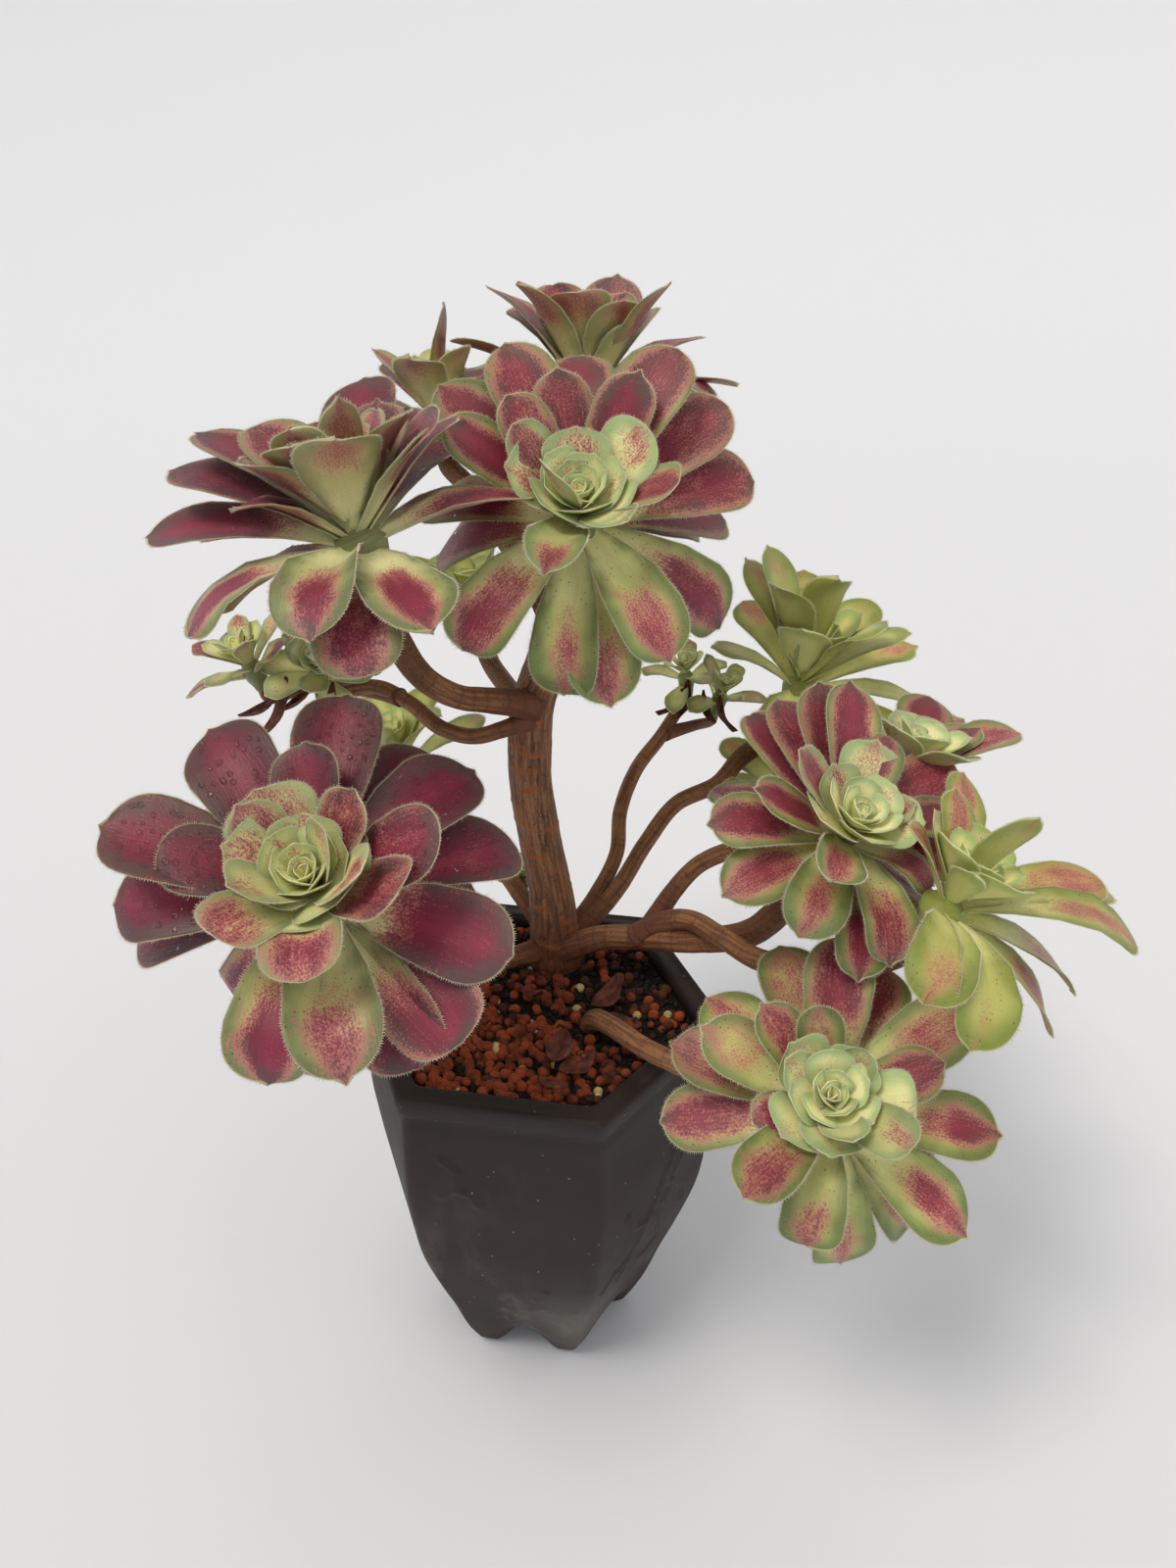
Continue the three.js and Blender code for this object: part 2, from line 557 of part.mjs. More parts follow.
function makeTrunk() {
  const branches = [
    towardsHead([
      [9, 37, 134, 14], [8, 37, 168, 13.4], [7, 37, 190, 11], [5, 37, 214, 9.6], [1, 37, 240, 9.3],
      [-2, 37, 264, 9.2], [-2, 37, 284, 9.2], [0, 37, 301, 9], [5, 37, 317, 8.6], [11, 38, 334, 8.2],
    ], "headCrown", 12),
    towardsHead([
      [0, 32, 302, 5.5], [-8, 24, 307, 5.4], [-18, 17, 311, 5], [-28, 11, 315, 4.8], [-40, 6, 325, 5],
      [-49, 3, 342, 5.4],
    ], "headUpperLeft", 8),
    towardsHead([
      [-1, 32, 296, 3.8], [-12, 22, 296, 3.4], [-24, 24, 292, 3.3], [-38, 30, 293, 3.3], [-52, 42, 299, 3.2],
      [-68, 52, 302, 3.2],
    ], "youngLeft", 7),
    towardsHead([[-56, 45, 300, 3.2], [-74, 60, 297, 3], [-98, 62, 298, 3]], "youngFarLeft", 5),
    towardsHead([[5, 37, 318, 6], [12, 60, 338, 5.4], [19, 98, 366, 5.2]], "headTopBack", 5),
    towardsHead([[9, 50, 330, 4.6], [-8, 80, 350, 4.4], [-30, 112, 372, 4.4]], "headTopLeft", 5),
    towardsHead([[-1, 40, 292, 4.8], [-10, 66, 292, 4.4], [-22, 94, 296, 4.4]], "headMiddleBack", 5),
    towardsHead([
      [6, 37, 184, 5], [-6, 50, 194, 4.2], [-24, 74, 206, 4], [-48, 92, 220, 4],
    ], "headLowLeft", 6),
    towardsHead([[6, 42, 180, 2.6], [-3, 58, 183, 1.8], [-8, 68, 187, 1.8]], "sprout", 4),
    towardsHead([
      [12, 38, 182, 4.4], [26, 54, 195, 3.7], [36, 70, 209, 3.5], [38, 84, 224, 3.5], [46, 99, 239, 3.5],
      [58, 112, 250, 3.4], [66, 126, 256, 3],
    ], "youngBackA", 8),
    towardsHead([[60, 114, 251, 3.2], [76, 126, 250, 2.8]], "youngBackB", 4),
    towardsHead([
      [14, 37, 181, 5], [36, 54, 199, 4], [50, 67, 217, 3.8], [64, 78, 231, 3.8], [84, 86, 238, 3.9],
      [96, 94, 248, 4.4],
    ], "headSlopeBack", 8),
    towardsHead([[80, 84, 236, 3.4], [98, 86, 222, 3.6]], "headBehindRight", 4),
    towardsHead([
      [6, 34, 176, 6], [18, 27, 187, 5.8], [30, 24, 193, 5.6], [50, 16, 198, 5.4], [70, 6, 204, 5.4],
      [90, -3, 214, 5.8], [104, -5, 230, 6],
    ], "headRight", 9),
    towardsHead([
      [44, 18, 197, 5], [54, 16, 206, 4.8], [66, 8, 213, 4.4], [78, -6, 214, 4.4], [92, -22, 214, 4.6],
      [112, -34, 220, 5], [132, -42, 228, 5.4],
    ], "headFarRight", 9),
    towardsHead([
      [48, 18, 199, 4.4], [60, 26, 216, 4], [72, 30, 228, 3.9], [92, 30, 236, 4], [114, 20, 240, 4.2],
      [132, 10, 248, 4.4],
    ], "headRightBack", 7),
    towardsHead([
      [6, 35, 179, 5.6], [-9, 25, 182, 4.8], [-22, 12, 188, 4.6], [-40, -8, 204, 4.8], [-56, -28, 226, 5.2],
      [-66, -44, 246, 5.4],
    ], "headFrontLeft", 8),
  ];
  return mainBody(branches.reduce((sum, branch) => sum.add(branch)));
}

const lowCaneStations = [
  [17, 2, 140, 4.6], [21, -6, 160, 4.5], [25, -14, 177, 4.4], [32, -30, 187, 4.2], [46, -48, 190, 4.1],
  [62, -60, 190, 4], [80, -66, 184, 4], [96, -67, 178, 4.1],
];

// ---- fallen leaves --------------------------------------------------------------------------

// A dry leaf lies in a shallow curl, lowered until it rests on the granules.
function makeDryLeaf([x, y], length, width, turn, curl, soil) {
  const rings = [];
  const count = 5;
  for (let i = 0; i <= count; i += 1) {
    const t = i / count;
    const half = (width / 2) * Math.sin(Math.PI * (0.12 + 0.8 * t)) + 0.4;
    const rise = curl * (2 * t - 1) ** 2;
    const along = length * (t - 0.5);
    const sag = curl * 0.35;
    rings.push([
      vec(along, half, rise + sag), vec(along, 0, rise + 0.9), vec(along, -half, rise + sag),
      vec(along, 0, rise),
    ]);
  }
  let geometry = loft(rings);
  if (toSolid(geometry).volume() < 0) geometry = loft(rings.map((ring) => [...ring].reverse()));
  geometry.rotateZ(radians(turn));
  geometry.translate(x, y, soilHeight + grainRise + 3);
  let leaf = toSolid(geometry);
  const drop = 0.2;
  while (!meets(leaf.translate([0, 0, -drop - pieceGap]), soil)) leaf = leaf.translate([0, 0, -drop]);
  return leaf;
}

// ---- the whole plant ------------------------------------------------------------------------

const clay = { color: "#433a36", roughness: 0.78 };
const grit = { color: "#7c3a20", roughness: 0.95 };
const bark = { color: "#6e4b35", roughness: 0.9 };
const darkLeaf = { color: "#7b2f45", roughness: 0.5 };
const mixedLeaf = { color: "#76804a", roughness: 0.5 };
const dryLeaf = { color: "#5a3325", roughness: 0.85 };
const darkHeads = ["headFrontLeft", "headUpperLeft", "headTopLeft", "youngFarLeft"];

const plant = new THREE.Group();
plant.position.set(potCentre[0], potCentre[1], 0);

function addPiece(name, solid, finish) {
  const mesh = new THREE.Mesh(
    toGeometry(solid),
    new THREE.MeshStandardMaterial({ color: finish.color, roughness: finish.roughness, metalness: 0 }),
  );
  mesh.name = name;
  plant.add(mesh);
  return solid;
}

function makeHole([x, y], radius, bottom) {
  const hole = new THREE.CylinderGeometry(radius, radius, 80, 18);
  hole.rotateX(Math.PI / 2);
  hole.translate(x, y, bottom + 40);
  return toSolid(hole);
}

const pot = addPiece("pot", makePot(), clay);
const trunk = addPiece("trunk", makeTrunk(), bark);
const lowCane = addPiece("lowCane", towardsHead(lowCaneStations, "headLowerRight", 11), bark);
const roomAroundCane = stemSolid([
  [16.6, 3, 138, caneHoleRadius], [21, -6, 160, caneHoleRadius], [26, -16, 181, caneHoleRadius],
], 4, null);
const soil = addPiece("soil", makeSoil([
  makeHole([8.4, 37], trunkHoleRadius, trunkHoleFloor),
  roomAroundCane,
]), grit);

const built = [pot, soil, trunk, lowCane];
heads.forEach((head) => {
  const solid = makeHead(head, built);
  built.push(solid);
  addPiece(head.name, solid, darkHeads.includes(head.name) ? darkLeaf : mixedLeaf);
});

addPiece("dryLeafA", makeDryLeaf([18, -40], 17, 9, 40, 2.6, soil), dryLeaf);
addPiece("dryLeafB", makeDryLeaf([38, -12], 15, 8, -30, 2.2, soil), dryLeaf);
addPiece("dryLeafC", makeDryLeaf([-22, -8], 16, 7, 100, 2.4, soil), dryLeaf);

const group = new THREE.Group();
group.add(plant);

export default group;
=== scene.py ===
import math
import random
from functools import cache, partial

import bmesh
import bpy
from mathutils import Matrix, Vector, kdtree, noise


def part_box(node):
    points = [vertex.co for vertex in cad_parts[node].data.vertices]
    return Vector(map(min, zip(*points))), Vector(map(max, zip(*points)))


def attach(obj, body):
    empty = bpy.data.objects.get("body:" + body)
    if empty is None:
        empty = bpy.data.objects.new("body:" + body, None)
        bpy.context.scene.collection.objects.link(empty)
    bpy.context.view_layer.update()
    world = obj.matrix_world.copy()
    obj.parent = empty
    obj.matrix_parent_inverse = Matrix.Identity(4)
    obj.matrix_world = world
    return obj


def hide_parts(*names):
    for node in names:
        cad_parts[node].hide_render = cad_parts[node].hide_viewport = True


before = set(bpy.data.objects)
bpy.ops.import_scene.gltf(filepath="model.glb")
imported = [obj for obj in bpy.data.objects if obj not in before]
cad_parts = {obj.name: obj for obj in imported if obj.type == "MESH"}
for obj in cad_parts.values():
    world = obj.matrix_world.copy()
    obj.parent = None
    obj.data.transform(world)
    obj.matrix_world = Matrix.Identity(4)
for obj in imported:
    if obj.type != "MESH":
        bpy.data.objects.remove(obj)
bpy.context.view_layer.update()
mm = 0.001
potCentre = Vector((-41, -28, 0))  # the pot's axis in the shared frame, mm


# a seeded draw between two values
def between(rng, low, high):
    return low + (high - low) * rng.random()


def smooth(low, high, value):
    share = min(1, max(0, (value - low) / (high - low)))
    return share * share * (3 - 2 * share)


# the direction at an angle from one axis towards another
def towards(angle, first, second):
    return first * math.cos(angle) + second * math.sin(angle)


def onCircle(angle):
    return Vector((math.cos(angle), math.sin(angle), 0))


# sRGB hex colour to linear RGBA
def linear(hexColour):
    parts = [int(hexColour[i : i + 2], 16) / 255 for i in (1, 3, 5)]
    return [p / 12.92 if p <= 0.04045 else ((p + 0.055) / 1.055) ** 2.4 for p in parts] + [1]


# adds a node and gives one of its outputs; a socket is linked, a text is a hex colour, the rest is set
def addNode(tree, kind, inputs=(), out=0, **settings):
    node = tree.nodes.new("ShaderNode" + kind)
    for name, value in settings.items():
        setattr(node, name, value)
    for key, value in inputs.items() if isinstance(inputs, dict) else enumerate(inputs):
        if isinstance(value, bpy.types.NodeSocket):
            tree.links.new(value, node.inputs[key])
        else:
            node.inputs[key].default_value = linear(value) if isinstance(value, str) else value
    return node.outputs[out] if node.outputs else node


def newMaterial(name):
    material = bpy.data.materials.new(name)
    material.use_nodes = True
    material.node_tree.nodes.clear()
    return material, partial(addNode, material.node_tree)


# Painted board: even, pale, no gloss. Rim hairs: colourless cells that scatter light, so they read as
# whitish. Clear water: a little see-through, so that no black shadow lies under a drop.
plainFinishes = {
    "paintedBoard": {"Base Color": "#e1e8f4", "Roughness": 0.9, "IOR": 1.45},
    "rimHair": {"Base Color": "#ddd6c2", "Roughness": 0.55, "IOR": 1.4},
    "clearWater": {
        "Base Color": "#ffffff", "Roughness": 0.02, "IOR": 1.333, "Transmission Weight": 1.0, "Alpha": 0.75},
}


def plainMaterial(name):
    material, add = newMaterial(name)
    add("OutputMaterial", [add("BsdfPrincipled", plainFinishes[name])])
    return material


def addObject(name, data):
    item = bpy.data.objects.new(name, data)
    bpy.context.scene.collection.objects.link(item)
    return item


# a smooth mesh object from a bmesh
def addMesh(name, bm, materials):
    for face in bm.faces:
        face.smooth = True
    mesh = bpy.data.meshes.new(name)
    bm.to_mesh(mesh)
    bm.free()
    for material in materials:
        mesh.materials.append(material)
    return addObject(name, mesh)


# a piece from a bmesh given in mm about the pot's axis, riding on the root
def makePiece(name, bm, materials, slot=None, nodes=()):
    bmesh.ops.translate(bm, verts=bm.verts, vec=potCentre)
    bmesh.ops.scale(bm, verts=bm.verts, vec=(mm, mm, mm))
    piece = addMesh(name, bm, materials)
    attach(piece, "root")
    if nodes:
        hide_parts(*nodes)


# a grid bent into place by place(vert, u, w), for shares along and around; its seam is merged
def bentGrid(bm, along, around, place):
    layer = bm.loops.layers.uv.verify()
    made = bmesh.ops.create_grid(bm, x_segments=along, y_segments=around, size=0.5, calc_uvs=True)
    verts = made["verts"]
    faces = {face for vert in verts for face in vert.link_faces}
    for face in faces:
        for loop in face.loops:
            loop[layer].uv = (loop.vert.co.x + 0.5, loop.vert.co.y + 0.5)
    for vert in verts:
        place(vert, vert.co.x + 0.5, vert.co.y + 0.5)
    bmesh.ops.remove_doubles(bm, verts=verts, dist=1e-5)
    faces = [face for face in faces if face.is_valid]
    bmesh.ops.recalc_face_normals(bm, faces=faces)
    return faces


studio = {
    "cameraPlace": (-0.01844, -0.43728, 0.4968),
    "cameraTilt": 62.38,
    "lens": 27.0,  # mm on a 36 mm sensor, for the 1200 x 1600 frame
    "boardFlat": 2.0,  # m, radius of the flat floor; past it the board sweeps up all round
    "boardSweep": 3.2,
    "boardSteps": 12,
    "skyColour": "#fff5e8",
    "skyStrength": 0.52,
    "lampColour": "#fff3e2",
    "lamps": [  # name, where it shines from, strength, how wide it looks in degrees
        ("keyLamp", (-0.4, -0.3, 1.0), 1.45, 24),
        ("fillLamp", (0.8, -0.8, 1.0), 0.35, 60),
        ("backLamp", (0.2, 1.0, 0.8), 0.3, 60),
    ],
}


def buildStudio():
    camera = addObject("camera", bpy.data.cameras.new("camera"))
    camera.data.lens = studio["lens"]
    camera.data.sensor_width = 36
    camera.data.clip_start = 0.01
    camera.location = studio["cameraPlace"]
    camera.rotation_euler = (math.radians(studio["cameraTilt"]), 0, 0)
    bpy.context.scene.camera = camera
    for name, place, power, wide in studio["lamps"]:
        lamp = bpy.data.lights.new(name, "SUN")
        lamp.energy = power
        lamp.color = linear(studio["lampColour"])[:3]
        lamp.angle = math.radians(wide)
        addObject(name, lamp).rotation_euler = (-Vector(place)).to_track_quat("-Z", "Y").to_euler()
    world = bpy.data.worlds.new("softSky")
    world.use_nodes = True
    sky = world.node_tree.nodes["Background"].inputs
    sky["Color"].default_value = linear(studio["skyColour"])
    sky["Strength"].default_value = studio["skyStrength"]
    bpy.context.scene.world = world
    bm = bmesh.new()
    flat, sweep = studio["boardFlat"], studio["boardSweep"]
    bmesh.ops.create_circle(bm, cap_ends=True, radius=flat, segments=96)
    radius, height = flat, 0
    for step in range(1, studio["boardSteps"] + 1):
        turn = math.radians(90 * step / studio["boardSteps"])
        rim = [edge for edge in bm.edges if edge.is_boundary]
        made = bmesh.ops.extrude_edge_only(bm, edges=rim)["geom"]
        verts = [item for item in made if isinstance(item, bmesh.types.BMVert)]
        wider, higher = flat + sweep * math.sin(turn), sweep * (1 - math.cos(turn))
        bmesh.ops.scale(bm, verts=verts, vec=(wider / radius, wider / radius, 1))
        bmesh.ops.translate(bm, verts=verts, vec=(0, 0, higher - height))
        radius, height = wider, higher
    bmesh.ops.recalc_face_normals(bm, faces=bm.faces)
    bmesh.ops.reverse_faces(bm, faces=[face for face in bm.faces if face.normal.z < -0.01])
    floor = addMesh("floor", bm, [plainMaterial("paintedBoard")])
    bpy.context.scene.view_settings.view_transform = "Standard"
    print("studio: camera, lamps and floor")


# Leaf skins with their slots, and their colours on the top of the blade, one column for each skin
leafSkins = {"burgundyLeafSkin": "dark_leaf", "stripedLeafSkin": "mixed_leaf", "limeLeafSkin": "mixed_leaf"}
leafColours = {
    # foot: painted light, a near-white lime far lighter than the leaf feet are, so they still come out bright
    # in the shade deep in each rosette
    "foot": ("#f2f3c0", "#eff0b4", "#ebeea4"),
    "middle": ("#bfc483", "#b4bb72", "#b9bf6c"),
    "side": ("#6c7a54", "#667c46", "#7f9040"),
    "blush": ("#6e253a", "#732a3a", "#9a5250"),
    "dusk": ("#5b4447", "#5d4844", "#7a5c3a"),
    "glow": ("#93304c", "#94344a", "#b06464"),
    "pink": ("#c67f7c", "#c47f78", "#c4946e"),
    "rim": ("#bdb896", "#c6caa0", "#c9cd96"),
    "heart": ("#f6f7b4", "#f6f7bc", "#f0f3aa"),
    "heartSide": ("#bbd196", "#aecb94", "#afca80"),
    "heartRim": ("#f4f7d0", "#f4f7d0", "#eef4be"),
    "fleck": ("#36211d", "#332a1c", "#4a4524"),
    "under": ("#8c7450", "#8a7a50", "#989458"),
}


# Fleshy leaf skin: waxy, half-gloss, each blade with a pale hairy rim line, a lime foot painted much lighter
# than life as painted light where the crowded rosette keeps it in shade, green sides and a blush that starts
# in fine red grains
def waxyLeafSkin(name, column):
    material, add = newMaterial(name)
    place = add("Attribute", out="Vector", attribute_name="bladePlace")
    look = add("Attribute", attribute_name="bladeLook")
    form = add("Attribute", attribute_name="bladeEdge")
    young, spread, blush = add("SeparateColor", [look]).node.outputs
    rimShare, under, start = add("SeparateColor", [form]).node.outputs
    dice = look.node.outputs["Alpha"]
    along, aside, _ = add("SeparateXYZ", [add("UVMap", uv_map="bladeMap")]).node.outputs
    across = add("Math", (aside, 2.0, -1.0), operation="MULTIPLY_ADD")
    across = add("Math", [across], operation="ABSOLUTE")
    # how near a point is to the blade's outline: 0 on the rib, 1 at the rim
    tipPower = add("Math", (form.node.outputs["Alpha"], 10.0), operation="MULTIPLY")
    beyond = add("MapRange", (along, bladeForm["widest"]))
    power = add("Math", (beyond, tipPower), operation="POWER")
    rest = add("Math", (1.0, power), operation="SUBTRACT")
    square = add("Math", (across, across), operation="MULTIPLY")
    edge = add("Math", (square, rest, power), operation="MULTIPLY_ADD")
    edge = add("Math", [edge], operation="SQRT")
    # red grains about 0.7 mm, streaks about 0.7 mm wide and 9 mm long, patches about 10 mm
    stretch = add("VectorMath", (place, (0.11, 1.4, 1.0)), operation="MULTIPLY")
    grain, streak, patch = [
        add("TexNoise", {"Vector": vector, "Scale": scale, "Detail": detail})
        for vector, scale, detail in ((place, 1.4, 3.0), (stretch, 1.0, 2.0), (place, 0.1, 1.0))
    ]
    # weighted sums that the marks are cut from, each from its first value on
    sums = {}
    for key, total, *parts in (
        ("green", 0.0, (streak, 0.35), (patch, 0.55), (along, 0.45), (edge, 0.8)),
        ("sideways", 0.0, (across, 0.7), (edge, 0.3)),
        ("riseEnd", 0.42, (start, 1.0)),
        ("fallEnd", 0.75, (spread, 1.0)),
        ("dusk", edge, (patch, 0.8)),
        ("glow", across, (streak, 0.9)),
        ("rimLow", 1.0, (rimShare, -2.0)),
        ("rimHigh", 1.0, (rimShare, -1.0)),
        ("grown", 1.0, (young, -1.0)),
        ("dull", 0.0, (under, 0.4)),
        ("light", 0.7, (streak, 0.36), (dice, 0.34)),
        ("relief", grain, (streak, 0.8)),
    ):
        for part, weight in parts:
            total = add("Math", (part, weight, total), operation="MULTIPLY_ADD")
        sums[key] = total
    # soft-edged marks: field, where it starts and ends, and the strengths there
    masks = {}
    for key, *field in (
        ("foot", along, 0.25, 0.65),
        ("side", sums["green"], 0.95, 1.6),
        ("rise", along, start, sums["riseEnd"]),
        ("fall", sums["sideways"], spread, sums["fallEnd"], 1.0, 0.0),
        ("dusk", sums["dusk"], 0.8, 1.4),
        ("glow", sums["glow"], 0.35, 1.1, 0.65, 0.0),
        ("rim", edge, sums["rimLow"], sums["rimHigh"], 0.0, 0.72),
    ):
        masks[key] = add("MapRange", field, interpolation_type="SMOOTHSTEP")
    # the blush: from its start along the blade, within its spread across it, broken up by grains
    flush = blush
    for part in (masks["rise"], masks["fall"]):
        flush = add("Math", (part, flush), operation="MULTIPLY")
    for part, weight in ((grain, 1.1), (streak, 0.5), (patch, 0.6)):
        flush = add("Math", (part, weight, flush), operation="MULTIPLY_ADD")
    for key, low, high in (("pink", 1.18, 1.75), ("blush", 1.38, 2.02)):
        masks[key] = add("MapRange", (flush, low, high), interpolation_type="SMOOTHSTEP")
    # dark specks of 0.5 mm, about 2.4 mm apart, on grown parts
    cells = add("TexVoronoi", {"Vector": place, "Scale": 0.42})
    chance = add("SeparateColor", [cells.node.outputs["Color"]])
    speck = sums["grown"]
    for field in ((cells, 0.09, 0.17, 0.75, 0.0), (chance, 0.4, 0.5)):
        speck = add("Math", (add("MapRange", field), speck), operation="MULTIPLY")
    # the colours laid over each other; the back of the blade is duller, the rim line comes last
    shades = {key: colours[column] for key, colours in leafColours.items()}
    for key, mask, first, second in (
        # the foot colour is painted light: lighter to make up for the shade where the leaves crowd at the
        # root
        ("foot", masks["foot"], "foot", "middle"),
        ("foot", young, "foot", "heart"),
        ("side", young, "side", "heartSide"),
        ("rim", young, "rim", "heartRim"),
        ("red", masks["glow"], "blush", "glow"),
        ("red", masks["dusk"], "red", "dusk"),
        ("skin", masks["side"], "foot", "side"),
        ("skin", masks["pink"], "skin", "pink"),
        ("skin", masks["blush"], "skin", "red"),
        ("skin", speck, "skin", "fleck"),
        ("skin", sums["dull"], "skin", "under"),
        ("skin", masks["rim"], "skin", "rim"),
    ):
        shades[key] = add("Mix", {0: mask, 6: shades[first], 7: shades[second]}, 2, data_type="RGBA")
    # each blade a little lighter or darker, with fainter and stronger fibres
    tone = add("HueSaturation", {"Value": sums["light"], "Color": shades["skin"]})
    bump = add("Bump", {"Height": sums["relief"], "Strength": 0.4, "Distance": 0.0004})
    gloss = add("MapRange", (grain, 0.3, 0.7, 0.36, 0.5))
    body = add("BsdfPrincipled", {
        "Base Color": tone, "Roughness": gloss, "Normal": bump, "IOR": 1.45, "Subsurface Weight": 0.16,
        "Subsurface Radius": (0.0035, 0.0025, 0.001), "Subsurface Scale": 1.0})
    add("OutputMaterial", [body])
    return material


bladeForm = {
    "widest": 0.74,  # share of the length
    "thickness": 2.4,
    "rootStations": (0, 0.03, 0.17, 0.35, 0.55),
    "tipSteps": (5, 8),  # on short and on long blades
    "around": (10, 16),
    "curlFrom": 0.55,
    "ribSteps": 8,
}
headRules = {
    "bigFrom": 20,  # heads with wider leaves have rim hairs and a full heart
    "coreLength": 16,
    "goldenAngle": 137.508,
    "hairLength": 1.35,
    "hairRadius": 0.2,  # thicker than life, to show
    "hairStep": 0.8,
    "hairSunk": 0.25,
    "rimWidth": 0.26,
}
ringRules = {  # bend, depth of the root, and how much younger than its length tells
    "outer": (-30, 9, -2),
    "middle": (-14, 7, -2),
    "inner": (0, 4.5, 0),
    "crown": (14, 2.5, 0.2),
}
# swings and leans that the solids may have taken to keep clear of each other, in degrees
bends = [
    (0, 0), (0, 5), (0, -5), (4, 0), (-4, 0), (0, 10), (4, 7), (-4, 7), (8, 0), (-8, 0), (0, -10),
    (8, 8), (-8, 8), (0, 16), (12, 4), (-12, 4), (0, 24), (12, 14), (-12, 14), (0, -18), (0, 34), (0, 46),
]
reachShares = [1, 0.8, 0.62]

